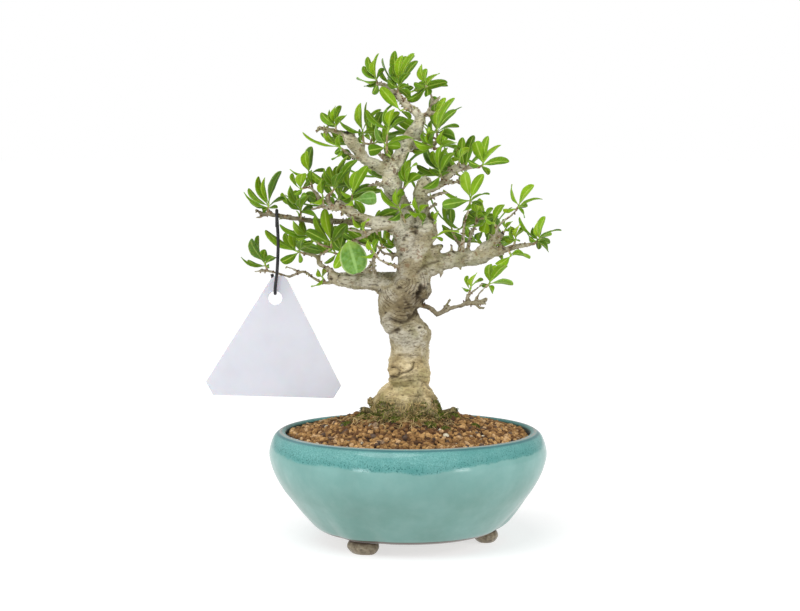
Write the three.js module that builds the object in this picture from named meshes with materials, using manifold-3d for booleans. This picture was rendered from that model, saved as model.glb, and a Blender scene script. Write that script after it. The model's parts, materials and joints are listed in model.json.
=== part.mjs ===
// A border privet bonsai in a round three-footed pot, with a blank plant tag on its wire hook.
// Millimetres, +Z up. The front of the tree faces -Y.
import * as THREE from "three";
import { mergeVertices } from "three/addons/utils/BufferGeometryUtils.js";
import Module from "manifold-3d";

const wasm = await Module();
wasm.setup();

// Driving dimensions
const EYE_DISTANCE = 1150; // from an eye in front of the tree to the upright plane through its trunk
const EYE_HEIGHT = 235; // of that eye above the table
const TABLE_READING = 3.5; // the height reading at which the feet stand on the table
const POT_SIDES = 30; // also of the soil, which lies against the pot's wall
const POT_FLOOR = 10.5; // top of the pot's floor
const POT_BASE = 6.5; // underside of the pot's floor, above the table
const DRAIN_RADIUS = 10;
const FOOT_ANGLES = [236, 356, 116]; // degrees, seen from above
const FOOT_CIRCLE = 47;
const TOUCH_GAP = 0.35; // between pieces that touch
const STUMP_SIDES = 14;
const STUMP_CENTRE = -0.8;
const STUMP_RADIUS = 21;
const STUMP_BOTTOM = 45;
const NET_SIDE = 32;
const NET_THICK = 1.2;
const TAG_THICK = 1;
const TAG_BACK = -0.9;
const TAG_HOLE = [-79.5, 150];
const TAG_HOLE_RADIUS = 4.3;
const WIRE_RADIUS = 1;
const WIRE_SIDES = 6;
const BRANCH_UNDER_HOOK = [199.5, -1, 1.6]; // height, depth and radius of the branch that carries the hook
const SHOOT_RADIUS = 0.75;
const SHOOT_SIDES = 3;
const LEAF_KEEL = 0.4; // depth of a blade's keel below the line from its base to its tip
const LEAF_ROOM = 0.45; // free space kept round a blade
const GOLDEN = 0.61803398875;
const SECOND_GOLDEN = 0.7548776662;

// The pieces' colours
const COLOURS = {
  bark: new THREE.MeshStandardMaterial({ color: 0xb3a68f, roughness: 0.85, metalness: 0 }),
  leaf: new THREE.MeshStandardMaterial({ color: 0x6fa51e, roughness: 0.45, metalness: 0 }),
  glaze: new THREE.MeshStandardMaterial({ color: 0x86b8ac, roughness: 0.3, metalness: 0 }),
  soil: new THREE.MeshStandardMaterial({ color: 0x8a6a4c, roughness: 0.95, metalness: 0 }),
  net: new THREE.MeshStandardMaterial({ color: 0x2a2c2c, roughness: 0.6, metalness: 0 }),
  tag: new THREE.MeshStandardMaterial({ color: 0xe6e5f2, roughness: 0.4, metalness: 0 }),
  wire: new THREE.MeshStandardMaterial({ color: 0x2b2a2d, roughness: 0.5, metalness: 0 }),
};

// Places are read in the upright plane through the trunk: across, up, and the depth behind that plane.
// A place keeps its line of sight when its depth changes, so the front view stays the same.
function seen([across, up, back]) {
  const grow = 1 + back / EYE_DISTANCE;
  return new THREE.Vector3(across * grow, back, EYE_HEIGHT - (EYE_HEIGHT + TABLE_READING - up) * grow);
}

// A number from 0 to 1 that is the same in every run
function draw(index, stream) {
  const value = index * GOLDEN + stream * SECOND_GOLDEN;
  return value - Math.floor(value);
}

// Solids from meshes and back
function solidOf(geometry) {
  geometry.deleteAttribute("normal");
  geometry.deleteAttribute("uv");
  const merged = mergeVertices(geometry, 1e-3);
  const corners = [];
  for (let i = 0; i < merged.index.count; i += 3) {
    const face = [0, 1, 2].map((k) => merged.index.getX(i + k));
    if (new Set(face).size === 3) corners.push(...face);
  }
  const mesh = new wasm.Mesh({
    numProp: 3,
    vertProperties: new Float32Array(merged.attributes.position.array),
    triVerts: new Uint32Array(corners),
  });
  return new wasm.Manifold(mesh);
}

// The largest body of a joined solid, without sealed hollows and loose scraps
function oneBody(solid) {
  return solid.decompose().reduce((best, body) => (body.volume() > best.volume() ? body : best));
}

function meshOf(name, solid, material) {
  const made = solid.getMesh();
  const positions = new Float32Array(made.numVert * 3);
  for (let i = 0; i < made.numVert; i++) {
    const start = i * made.numProp;
    positions.set(made.vertProperties.subarray(start, start + 3), i * 3);
  }
  const geometry = new THREE.BufferGeometry()
    .setAttribute("position", new THREE.BufferAttribute(positions, 3))
    .setIndex(new THREE.BufferAttribute(made.triVerts, 1));
  const mesh = new THREE.Mesh(geometry, material);
  mesh.name = name;
  return mesh;
}

function join(solids) {
  return oneBody(solids.reduce((all, solid) => all.add(solid)));
}

// A round bar bent onto a line of places with a radius at each, with rounded ends and uneven sides
function bentBar(places, radii, sides, steps, uneven) {
  const curve = new THREE.CatmullRomCurve3(places, false, "centripetal");
  const rings = (places.length - 1) * steps;
  const centres = [];
  const sideways = [];
  const onwards = [];
  const sizes = [];
  let sideway = new THREE.Vector3(1, 0.1, 0.05);
  for (let ring = 0; ring <= rings; ring++) {
    const t = ring / rings;
    const onward = curve.getTangent(t);
    sideway = sideway.clone().addScaledVector(onward, -sideway.dot(onward)).normalize();
    const span = Math.min(Math.floor(t * (places.length - 1)), places.length - 2);
    const along = t * (places.length - 1) - span;
    centres.push(curve.getPoint(t));
    onwards.push(onward);
    sideways.push(sideway);
    sizes.push(radii[span] * (1 - along) + radii[span + 1] * along);
  }
  const geometry = new THREE.CylinderGeometry(1, 1, 1, sides, rings);
  const position = geometry.attributes.position;
  for (let i = 0; i < position.count; i++) {
    const ring = Math.round((0.5 - position.getY(i)) * rings);
    const x = position.getX(i);
    const z = position.getZ(i);
    const middle = Math.hypot(x, z) < 0.5;
    const corner = (Math.round((Math.atan2(x, z) / (2 * Math.PI)) * sides) + sides) % sides;
    const size = sizes[ring] * (1 + uneven * (draw(ring * sides + corner, sides) - 0.5));
    const over = new THREE.Vector3().crossVectors(onwards[ring], sideways[ring]);
    const point = centres[ring].clone();
    if (middle) point.addScaledVector(onwards[ring], (ring === 0 ? -0.6 : 0.6) * sizes[ring]);
    else point.addScaledVector(sideways[ring], x * size).addScaledVector(over, z * size);
    position.setXYZ(i, point.x, point.y, point.z);
  }
  return solidOf(geometry);
}

// Trunk: [height reading, left edge, right edge, depth of the middle, depth radius]
const TRUNK_RINGS = [
  [80.3, -21.8, 20.2, 0, 21],
  [83, -22.2, 20.6, 0, 20.5],
  [87, -21, 19, 0, 19],
  [91, -19.5, 16.2, 0, 17],
  [95, -16.5, 14.3, 0, 15],
  [99, -11.8, 12.8, 0.5, 13],
  [103, -12.3, 13.5, 0, 13.5],
  [107, -12.8, 13.5, -0.5, 13],
  [111, -11, 12.4, 0, 11.5],
  [116, -10.5, 12.2, 0.5, 11],
  [121, -10.5, 12.5, 0, 11.5],
  [126, -11.8, 14, -1, 12],
  [131, -14.4, 13.3, -2, 12.5],
  [135, -16.5, 10.5, -2.5, 12.5],
  [139, -17, 6.8, -2, 12],
  [143, -17.8, 6, -1.5, 12],
  [148, -18, 10, -1, 13],
  [152, -17.5, 13.3, -1, 14],
  [158, -14.5, 13.6, 0, 13.5],
  [162, -9, 13.5, 0, 12],
  [168, -6.2, 12.6, 1, 10],
  [175, -6.2, 13.4, 1, 9.5],
  [182, -8, 14.5, 1, 10],
  [188, -9.6, 15.5, 1, 10.5],
  [192, -10.8, 16.6, 1, 10],
];
// Lumps on the trunk: [across, height reading, front (-1) or back (1), reach, height of the lump]
const TRUNK_LUMPS = [
  [-9, 106, -1, 7, 2.6],
  [-10, 139, -1, 8, 2.4],
  [7, 156, -1, 8, 2],
  [-3, 158, -1, 5, 1.4],
  [9, 129, -1, 7, 1.5],
  [-8, 125, 1, 9, 2.5],
  [6, 104, 1, 8, 2.2],
  [2, 150, 1, 10, 3],
];

function trunk() {
  const stumpRings = 2;
  const rings = TRUNK_RINGS.length - 1 + stumpRings;
  const geometry = new THREE.CylinderGeometry(1, 1, 1, STUMP_SIDES, rings);
  const position = geometry.attributes.position;
  const soilLine = TRUNK_RINGS[0][0] - TABLE_READING;
  for (let i = 0; i < position.count; i++) {
    const ring = Math.round((position.getY(i) + 0.5) * rings);
    const x = position.getX(i);
    const z = -position.getZ(i);
    if (ring < stumpRings) {
      const height = STUMP_BOTTOM + ((soilLine - STUMP_BOTTOM) * ring) / stumpRings;
      position.setXYZ(i, STUMP_CENTRE + x * STUMP_RADIUS, z * STUMP_RADIUS, height);
      continue;
    }
    const [up, left, right, back, deep] = TRUNK_RINGS[ring - stumpRings];
    const place = seen([(left + right) / 2 + (x * (right - left)) / 2, up, back]);
    place.y += z * deep;
    for (const [across, height, face, reach, lump] of TRUNK_LUMPS) {
      const far = Math.hypot(place.x - across, up - height) / reach;
      if (far < 1 && z * face > 0) place.y += face * lump * (1 - far * far);
    }
    position.setXYZ(i, place.x, place.y, place.z);
  }
  return solidOf(geometry);
}

// Limbs and twigs: each a line of [across, height reading, depth, radius]
const LIMBS = [
  // the two cut stubs that end the trunk, and the knobbly leader that goes on from behind them
  [[-3, 184, 1, 6], [-2.5, 192, 0, 7], [-2, 200.5, -1, 6]],
  [[7, 182, 0, 6], [10, 190, 0, 7], [11.5, 196.5, 0, 6]],
  [[0, 190, 5, 7], [-3, 200, 6, 6], [-8, 212, 5, 5.8], [-10, 220, 3, 6.4], [-8, 228, 2, 5.4], [-5, 235, 2, 4],
    [-2, 242, 2, 3.7], [2, 248, 2, 4], [5, 251, 2, 4.3], [7, 256, 1, 3.4], [7.5, 258.5, 0, 2.6]],
  // upper left limb with its black cut end
  [[-9, 225, 3, 5], [-18, 229, 1, 4], [-24, 231, 0, 3.5], [-28, 236, -1, 3.4], [-32, 241, -2, 3.6],
    [-35, 245, -3, 4], [-36, 248.5, -3, 3.4]],
  [[-22, 231, -1, 1.8], [-30, 233, -5, 1.4], [-35, 236, -7, 1.2], [-38, 238, -8, 1]],
  [[-35, 246, -3, 2], [-39, 248, -4, 1.8], [-45, 250, -6, 1.6], [-50, 251, -7, 1.5], [-54, 251.5, -8, 1.1]],
  [[-11, 218, 2, 1.8], [-18, 218, -2, 1.4], [-24, 217, -6, 1.1]],
  [[-27, 235, -1, 1.5], [-26.5, 240, -1, 1.1], [-26.5, 244, -1, 1]],
  // apex limb
  [[7, 255, 1, 3], [5, 261, 0, 3], [0, 264, -1, 2.6], [-5, 269, -2, 2.3], [-9, 273, -3, 2],
    [-13, 276.3, -4, 1.7], [-17, 277.5, -4, 1.5], [-19, 277, -4.2, 1.2]],
  [[6, 258, 0, 2.2], [13, 260, 0, 1.6], [17, 260.5, 0, 1.2]],
  [[11.5, 259.5, 0, 1.3], [14, 266, 1, 1.1], [14, 270, 2, 1], [12.5, 273, 2, 1], [11, 275, 2, 0.9]],
  [[13.8, 265, 1, 1], [16.5, 267, 0, 1.3], [19, 270, 0, 1.2]],
  // upper right limb, from the knob behind the right stub
  [[10, 190, 3, 5], [8, 204, 1, 4.4], [6.5, 212, -2, 4.6], [9, 218, -3, 4], [12, 221.5, -4, 3]],
  [[8, 213, -1, 3], [13, 215, -1, 2.4], [17, 216, -1, 2], [20, 218, 0, 2.1], [22, 221, 1, 2.4],
    [25, 225.5, 2, 2.8], [29, 227.5, 2, 2.9], [33, 228, 2, 2.3], [38, 228, 2, 1.2], [43, 228, 2, 1]],
  [[8, 206, 1, 2.2], [11, 208.5, -1, 1.9], [15, 211, -4, 1.6], [20, 213, -6, 1.4], [24, 213, -8, 1]],
  [[9, 198, 1, 1.8], [12, 203, -4, 1.3], [17, 207, -6, 1]],
  [[3, 247, 4, 2], [11, 243.5, 3, 1.6], [16, 241.5, 1, 1.4], [17.5, 244, -1, 1.1], [17.3, 247, -1.5, 1]],
  // left middle limb with its grey cut end
  [[-1, 190, -1, 5], [-8, 195.5, -5, 4.2], [-15, 195, -8, 4], [-24, 196, -10, 3.4], [-30, 199, -12, 2.8],
    [-35, 203, -13, 2.6], [-40, 206, -14, 2.4], [-43.5, 207.5, -14, 2]],
  [[-36, 203.5, -13.5, 1.5], [-45, 203, -13, 1.3], [-52, 204.5, -12, 1.2], [-58, 203, -10, 1]],
  [[-50, 204, -12, 1.5], [-53, 208, -12, 1.4], [-54.5, 212.5, -12, 1.3], [-58, 216, -13, 1.2],
    [-62, 216.3, -13, 1]],
  [[-43, 203, -13, 1.5], [-48, 208, -11, 1.9], [-48, 211, -10, 1.7], [-46, 213, -9, 1]],
  [[-12, 193, -7, 2], [-22, 190, -8, 1.7], [-30, 190.3, -8, 1.4], [-36, 191, -8, 1]],
  [[-22, 190, -8, 1.3], [-28, 186, -9, 1.1], [-34, 184.5, -9.5, 0.9]],
  // long branch on the left that carries the wire hook
  [[-2, 190, 5, 3.6], [-12, 193.5, 9, 2.9], [-24, 194.5, 12, 2.4], [-36, 195.5, 11, 2.1], [-45, 196, 9, 2],
    [-55, 196, 6, 1.9], [-62, 196.8, 4, 1.8], [-70, 198, 1.5, 1.7], [-78, 199.5, -1, 1.6],
    [-84, 200.2, -2, 1.5], [-88, 201, -3, 1.3], [-91, 203, -4, 1.1]],
  [[-84, 199.8, -2, 1.2], [-88, 198.8, -4, 1], [-91, 198, -5, 0.8]],
  // low left limb and its twigs
  [[-3, 153, 0, 8], [-12, 156.5, -1, 6.3], [-20, 159.3, -1, 5.1], [-28, 160, 0, 5.2], [-35, 160.5, 1, 5],
    [-42, 161.5, 2, 4.4], [-47, 164, 2, 2.8]],
  [[-43, 163, 2, 2.4], [-48, 168, 3, 1.9], [-52.5, 170, 4, 1.6], [-53.5, 173, 4, 1.5], [-55, 175.3, 5, 1.4],
    [-60, 176.5, 5, 1.2], [-63.5, 176.8, 4, 1]],
  [[-53.5, 172.5, 4, 1.4], [-52.5, 176, 5, 1.1], [-48, 178, 3, 0.9]],
  [[-44, 160.5, 2, 2], [-48, 158.8, 3, 1.3], [-53, 160, 4, 1.2], [-57, 162.5, 5, 1.2], [-60, 165, 6, 1.1],
    [-63, 166, 6, 1.1], [-67, 164.5, 7, 1.1], [-71, 162.7, 7, 1.1], [-75, 164, 8, 1], [-80, 165.5, 8, 1],
    [-85, 166.5, 8, 1], [-92, 166, 7, 0.8]],
  [[-64, 165.5, 6, 0.9], [-70, 168, 5, 0.9], [-73, 168.8, 4, 0.7]],
  [[-19, 158, -1, 2.4], [-20.5, 166, -4, 1.4], [-20.5, 172, -6, 1.3], [-21, 178, -7, 1.2], [-24, 181, -8, 1.1],
    [-30, 183, -10, 1], [-33, 183.3, -11, 0.9]],
  [[-3, 168, -3, 2], [-8, 169.5, -8, 1.4], [-12, 170.5, -10, 1.2], [-17, 173, -12, 1.1], [-20.3, 176.2, -13, 0.9]],
  [[-3, 176.5, 1, 1.8], [-10, 176, 0, 1.3], [-15, 177, 1, 1.1], [-18, 181, 2, 1], [-20, 185, 3, 0.8]],
  [[-2, 162, 6, 3.4], [-12, 163, 12, 2.4], [-20, 164, 17, 2]],
  // right main limb, its two upright twigs and its stubs
  [[4, 166, 1, 7.5], [13, 169.5, 0, 6.6], [22, 172, -1, 5.4], [30, 173, -2, 4.7], [38, 173.8, -3, 4.6],
    [45, 174.5, -4, 4.3], [50, 177, -5, 3.2], [55, 178.3, -5, 2.4], [60, 179.5, -5, 2], [65, 181, -5, 1.7],
    [70, 181.7, -5, 1.4], [76, 182.5, -5, 1]],
  [[11, 175, 1, 5], [17, 179.5, 0, 3.2], [20.5, 181.5, 0, 1.6]],
  [[42, 176, -4, 3.4], [47, 180.5, -5, 3.8], [51, 183.5, -5, 3], [54.5, 186.5, -5, 2.3], [56.5, 189, -5.5, 1.5]],
  [[53, 185, -5, 1.5], [53, 192, -6.5, 1.3], [55, 194.5, -7, 1.2], [58, 197, -7, 1], [61, 199, -7, 1],
    [63, 200.8, -7.5, 1], [64.5, 203, -8, 0.8]],
  [[32, 175, -3, 2], [32.8, 181, -5, 1.5], [33, 190, -6, 1.2], [34, 196, -6, 1.1], [35.5, 201, -7, 1],
    [37, 206, -8, 0.9]],
  [[35, 176, -2, 1.8], [36, 181, -1, 1.5], [37, 186, 0, 1.3], [39, 191, 2, 1.2], [41, 195, 3, 1.2],
    [43, 199, 4, 1], [45, 203, 4, 0.8]],
  [[26, 175, -3, 1.5], [26, 182, -3, 0.9]],
  [[30, 171, -3, 1.3], [31.5, 167, -4, 1.1]],
  // lower right twig
  [[0, 147, -3, 3], [7, 146.3, -5, 1.9], [13, 144, -7, 1.7], [17.5, 140.3, -8, 1.9], [20.5, 141.8, -9, 1.6],
    [25, 144, -10, 1.5], [30, 145, -11, 1.4], [35, 146.7, -12, 1.4], [41, 147.2, -13, 1.5], [47.5, 150, -13, 1]],
  [[21, 142.5, -9, 1.2], [23.5, 146.5, -8, 1], [25.5, 149.5, -7, 0.9]],
  [[40, 147, -13, 1.2], [44, 146.6, -14, 1], [47, 146.5, -15, 0.9]],
  [[40, 146.6, -13, 1.2], [43, 144, -12, 1.1], [46, 144, -11, 0.9]],
  [[36, 147, -12, 1.3], [34.8, 150.5, -12, 1], [38, 153.5, -12, 0.9], [42, 156.5, -12, 0.9], [45, 159, -12, 0.8]],
  [[40.5, 147.5, -13, 1.2], [42, 152, -14, 0.9], [45, 155.5, -14, 0.9], [47, 157, -14, 0.8]],
  // limbs that go back from the trunk
  [[-4, 160, 4, 6], [-13, 161.5, 20, 3.8], [-22, 163.5, 32, 3], [-31, 168, 42, 2.2], [-38, 174, 50, 1.4]],
  [[-25, 165, 35, 1.8], [-21, 172, 43, 1.3], [-17, 178, 49, 1]],
  [[5, 172, 4, 6], [14, 174, 18, 3.8], [25, 173.5, 30, 3], [36, 174.5, 40, 2.2], [46, 179, 48, 1.3]],
  [[30, 174, 34, 1.8], [31, 181, 42, 1.3], [28, 187, 48, 1]],
  [[-4, 203, 8, 5], [-5, 209, 20, 3], [-6, 214, 31, 2.2], [-4, 220, 42, 1.4]],
  [[-5.5, 212, 27, 1.8], [-14, 216, 34, 1.3], [-19, 220, 40, 1]],
  [[-26, 194.8, 12, 2], [-33, 198, 22, 1.6], [-40, 203, 32, 1.2]],
  [[0, 243, 3, 3], [5, 240, 14, 2.2], [11, 240, 24, 1.6], [16, 243, 31, 1.1]],
  [[-8, 229, 4, 3], [-12, 232, 14, 2.2], [-17, 236, 23, 1.5], [-21, 240, 29, 1]],
  [[5, 260, 1, 2], [1, 265, 8, 1.4], [-4, 270, 14, 1]],
  [[22, 220.5, 1, 2], [26, 219, 12, 1.5], [32, 220, 22, 1.1]],
];

function limb(line) {
  const thickest = Math.max(...line.map((place) => place[3]));
  const sides = thickest > 4.2 ? 7 : thickest > 2.4 ? 5 : 4;
  return bentBar(line.map(seen), line.map((place) => place[3]), sides, 1, thickest > 1.6 ? 0.16 : 0);
}

// Leafy sprays, limb by limb. A green shoot grows out of the wood at "from". It carries one tuft "at" its end, or
// divides at "fork" into several, which it reaches by "via".
// A drawn leaf is [tip across, tip height reading, width shown to the front]. A tuft with "count" has that many
// leaves in opposite pairs, each pair a quarter turn from the last.
const SPRAYS = {
  hook_branch: [
    { from: [-84, 200.2, -2], tufts: [
      { at: [-83, 207, -3], leaves: [[-86, 222, 2.5], [-76, 226, 4], [-90, 222.5, 4], [-95, 215, 2.5],
        [-98, 213, 1.5], [-74, 209.5, 1.3], [-95, 209.5, 2.4], [-78, 204, 2], [-87, 202.5, 4]] }] },
    { from: [-64, 197.1, 3], tufts: [
      { at: [-64, 205, -1], leaves: [[-71, 216.5, 4.5], [-67, 214, 3.5], [-58, 212, 3.5], [-75, 212.5, 1.3],
        [-62, 212, 2], [-72, 209.5, 3.4], [-53, 197.5, 3.5], [-57, 204, 3]] }] },
    { from: [-60.5, 216.3, -13], tufts: [
      { at: [-64.5, 215, -14], leaves: [[-63, 224.5, 6.5], [-69, 224, 1.2], [-68, 212, 3], [-56, 219, 3]] }] },
    { from: [-57, 215, -12.5], tufts: [
      { at: [-59, 225.5, -10], leaves: [[-61.5, 237.5, 5.2], [-57.5, 240, 5.4], [-70.5, 226.5, 1.4],
        [-50, 226, 1.4], [-55, 220, 2.5]] }] },
    { from: [-50.5, 204, -12], tufts: [
      { at: [-51, 212, -12], leaves: [[-52, 220.8, 2.8], [-49.5, 219.6, 2.4], [-57.5, 206.5, 3.2],
        [-45, 206.5, 3.8]] }] },
  ],
  left_middle: [
    { from: [-46.5, 212, -9.4], tufts: [
      { at: [-42, 218, -7], leaves: [[-36, 235, 3], [-47, 228, 3.4], [-50.5, 226.8, 3.4], [-58, 225, 4],
        [-31, 233, 4.5], [-34, 217, 3], [-40, 226, 3]] }] },
    { from: [-33.5, 202, -12.8], fork: [-34, 208.8, -14.6], tufts: [
      { at: [-33, 213.5, -13], leaves: [[-30.5, 226.5, 4], [-36, 225, 2.6], [-24.5, 229, 6], [-22, 217, 2.6],
        [-40, 213.5, 2.6], [-20.5, 214.5, 2.6], [-39.5, 208.5, 5]] },
      { at: [-32, 209, -16], leaves: [[-18.5, 210, 8.5], [-27, 200.5, 5], [-36.5, 205.5, 3]] }] },
    { from: [-24.5, 188, -8.5], tufts: [
      { at: [-27.5, 192.3, -12], leaves: [[-33.5, 198, 2.4], [-30.5, 198.5, 2.4], [-24, 197, 2.2]] }] },
    { from: [-1, 194, -5], tufts: [
      { at: [-6, 205, -12], leaves: [[-7.5, 215, 3], [-3, 214.5, 3.2], [-17, 215, 3.2], [-14, 211, 2.6],
        [2, 206, 2.4], [-18, 198, 6], [-11.5, 196.5, 4]] }] },
  ],
  low_left: [
    { from: [-50, 177.4, 4], fork: [-45.9, 180.2, 1.2], tufts: [
      { at: [-46, 184.5, -1], leaves: [[-50, 203.5, 6], [-46, 200, 5], [-56, 199, 4], [-38, 191.5, 5],
        [-61, 190.5, 6], [-37, 194.5, 5], [-54, 203.5, 3.5]] },
      { at: [-60, 187.5, -2], via: [[-53, 182.5, 0]], leaves: [[-69, 195.5, 4], [-63, 196, 3], [-77, 193.5, 3],
        [-66, 188, 2.2], [-56, 184, 3], [-52, 190, 3]] }] },
    { from: [-61.5, 176.6, 4.6], tufts: [
      { at: [-67.5, 178.5, 1], leaves: [[-69, 190.5, 4.6], [-73.5, 188.5, 4], [-85.5, 190.3, 4.2], [-58, 182, 3],
        [-76, 171.5, 5.4], [-65, 171.5, 2.6], [-62, 186, 3]] }] },
    { from: [-84, 166.3, 8], tufts: [
      { at: [-86, 172, 6], leaves: [[-94.5, 185, 5.6], [-85.5, 178.8, 4.6], [-80, 175, 4.8], [-89.5, 187, 1.1],
        [-100, 174, 1.6], [-95.5, 172.5, 2], [-83, 169, 3]] }] },
    { from: [-49, 159, 3.2], tufts: [
      { at: [-51.5, 163, 0.8], leaves: [[-54.5, 166.5, 3], [-47.8, 167.5, 2.6], [-57.5, 157, 1.2]] }] },
    { from: [-31.5, 183.1, -10.5], tufts: [
      { at: [-36, 184.6, -13], leaves: [[-30.5, 164.8, 13.5], [-44, 168, 6.5]] }] },
    { from: [-18.5, 174.5, -12.6], tufts: [
      { at: [-21, 178.8, -14], leaves: [[-24.5, 184.5, 3.4], [-18, 184.8, 3.4], [-27.5, 174.5, 2]] }] },
    { from: [-4, 180, 2], tufts: [
      { at: [-12.5, 183.8, 2.5], leaves: [[-17, 186, 3], [-11, 189, 3]] }] },
  ],
  upper_left: [
    { from: [-43, 249.4, -5.4], tufts: [
      { at: [-43, 254.5, -6.8], leaves: [[-44, 264, 3.4], [-40, 264.3, 3], [-47, 262, 2.4], [-51.5, 260, 5],
        [-37.5, 259, 3.6], [-47.5, 256.5, 3.4]] }] },
    { from: [-37, 237.4, -7.7], tufts: [
      { at: [-41.5, 240.5, -9.5], leaves: [[-63, 248.3, 1.6], [-49, 249.5, 3.6], [-41, 248, 3.4], [-43.5, 236.5, 3.4],
        [-45, 233, 1.5], [-34.5, 233, 5]] }] },
    { from: [-26.5, 243, -1], tufts: [
      { at: [-27, 250, -1], leaves: [[-29, 266, 4.6], [-16.5, 262.5, 1.3], [-41.5, 256, 2.6], [-20, 249.5, 3.2],
        [-22.5, 245, 3]] }] },
    { from: [-7, 231, 0], fork: [-12.6, 236.4, -6.6], tufts: [
      { at: [-14, 242.5, -9], leaves: [[-19.5, 253, 3.6], [-11, 254, 3.6], [3, 245.8, 3], [-4.5, 240.5, 6],
        [-24, 238, 7.5], [-10, 235.5, 5]] },
      { at: [-11.5, 252, -10], via: [[-12.6, 246, -10]], leaves: [[-9.5, 262.8, 5], [-5.5, 260.5, 4], [-13, 262.5, 3],
        [-25, 261.5, 3.6], [-22.5, 257.5, 1.3], [-1.5, 256.5, 2.6]] }] },
  ],
  apex: [
    { from: [-18, 277.3, -4], tufts: [
      { at: [-19.3, 281.5, -5.5], leaves: [[-20.5, 292, 4], [-24, 293, 4], [-18, 295.5, 1.3], [-26.5, 287.5, 4],
        [-30, 281, 1.4], [-14.5, 286, 2], [-25.5, 276, 3], [-21, 272, 3.6]] }] },
    { from: [0.5, 263.5, -1], tufts: [
      { at: [-4.8, 261.6, -6.5], leaves: [[-16.5, 275.5, 6.6], [1, 257, 2.6]] }] },
    { from: [-7, 271, -2.5], tufts: [
      { at: [-5, 278.5, -5], leaves: [[-4.3, 294.5, 4.6], [-1.5, 293.5, 3.2], [3.3, 295.5, 3.4], [-9.5, 288, 4],
        [0.5, 284, 4], [-17, 285.5, 1.4], [-12.5, 280.5, 4], [0.5, 270, 4.4]] }] },
    { from: [11.3, 274.5, 2], tufts: [
      { at: [10.3, 278, 1.5], leaves: [[7, 288.5, 4.6], [11, 286, 3], [18, 283.5, 2.6], [4, 278, 3], [11.8, 270.5, 5],
        [0, 267.5, 4]] }] },
    { from: [17.4, 246, -1.3], tufts: [
      { at: [17, 251.8, -3], leaves: [[18.3, 263, 3.6], [22, 269, 4], [27, 269.5, 3.6], [28.3, 262, 4.2],
        [9.5, 251.5, 3.4], [30, 252.5, 1.5], [28, 246, 6]] }] },
  ],
  upper_right: [
    { from: [14, 242.2, 2], fork: [15.4, 238.8, -2.4], tufts: [
      { at: [14, 241.5, -6], leaves: [[12, 251, 3.2], [8, 248, 3], [3.5, 243, 5], [3, 237.8, 2.6], [16, 250, 3]] },
      { at: [20, 240, -6], leaves: [[20.3, 250, 3.6], [24.5, 248.5, 4], [28, 243, 4], [30.3, 239, 1.4]] }] },
    { from: [20.5, 219.5, 0.5], tufts: [
      { at: [18.6, 227, -4.5], leaves: [[19.5, 241.5, 4], [15, 237.5, 4], [23, 240, 3], [10.5, 239.5, 4.6],
        [26.8, 237.5, 5], [5.5, 229, 3.4], [9.3, 215.3, 4.6], [22.5, 213, 3]] }] },
    { from: [30, 228, 1.5], tufts: [
      { at: [30.8, 234, -1], leaves: [[31, 239, 2.6], [36, 239, 3], [28, 240, 3], [26.5, 234, 2.6]] }] },
    { from: [42, 228, 2], tufts: [
      { at: [45.3, 230, 0], leaves: [[40, 243.8, 7.5], [47.3, 246.3, 5], [55, 241.5, 3], [60, 232, 4.8],
        [35.5, 232, 4], [47.8, 224, 3]] }] },
    { from: [-4, 214, 3], tufts: [
      { at: [0, 219, -9], leaves: [[-2, 231.5, 3.6], [1.3, 232, 3.6], [4.3, 230.5, 3], [-5, 226, 2.6],
        [6.5, 224, 3]] }] },
    { from: [9, 194, -3], tufts: [
      { at: [6.6, 202.6, -10.5], leaves: [[3.5, 210, 3], [0.6, 216.5, 3.4], [11.5, 206, 3.6], [9.5, 197, 4.4],
        [0.5, 202, 3]] }] },
    { from: [14, 192, -1], tufts: [
      { at: [16.8, 196.4, -6], leaves: [[17.8, 202, 3], [14.8, 201.5, 2]] }] },
    { from: [10, 184, -2], tufts: [
      { at: [16.6, 186.6, -5], leaves: [[30, 190, 1.2], [20.3, 184.3, 2]] }] },
  ],
  right_main: [
    { from: [36.6, 205, -7.8], tufts: [
      { at: [37.3, 210, -9], leaves: [[33.5, 225.3, 7], [44.5, 223.8, 6], [20, 205.5, 6.6], [21, 214.5, 1.5],
        [48, 212.5, 1.4], [43.5, 205.5, 2.4], [33.5, 202, 2.4]] }] },
    { from: [40.6, 194, 2.8], tufts: [
      { at: [41, 201.5, 0], leaves: [[39, 207.5, 3.6], [44.5, 208, 3.4], [45, 200, 3], [36.5, 197.5, 2.6]] }] },
    { from: [42.5, 198, 3.7], tufts: [
      { at: [47.5, 197, 0.5], leaves: [[45, 189, 7], [42.6, 209, 4.4], [36, 193, 1.4], [50.5, 204, 3]] }] },
    { from: [53.2, 192.3, -6.5], tufts: [
      { at: [50.6, 195.6, -9.5], leaves: [[56.5, 206.3, 5], [51.8, 184, 5], [45.5, 199, 2.4]] }] },
    { from: [64.2, 202.4, -7.9], tufts: [
      { at: [66.3, 205.6, -8.5], leaves: [[61.5, 217.8, 2.4], [74.3, 217.5, 4.6], [80, 209.6, 1.9], [57, 203, 1.6],
        [69.5, 198.5, 1.5], [71, 205, 3]] }] },
    { from: [75, 182.3, -5], tufts: [
      { at: [79, 186, -6], leaves: [[77, 195.5, 4], [81.3, 198.6, 4], [74, 192, 3.6], [66, 198, 1.8], [91, 191, 1.6],
        [85.5, 188, 2.6], [71.5, 188, 3], [84.5, 183, 4], [84, 178.5, 3.6], [78, 179.5, 3]] }] },
    { from: [63, 180.4, -5], tufts: [
      { at: [64.3, 186, -7], leaves: [[66.3, 193.8, 3.2], [69.5, 191.5, 2.6], [61, 192.5, 2.8], [58, 185.5, 3]] }] },
    { from: [56, 188, -5.3], tufts: [
      { at: [58.6, 191.6, -5.6], leaves: [[61.8, 196, 3], [57.5, 197, 1.6], [65, 190, 3.4]] }] },
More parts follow.
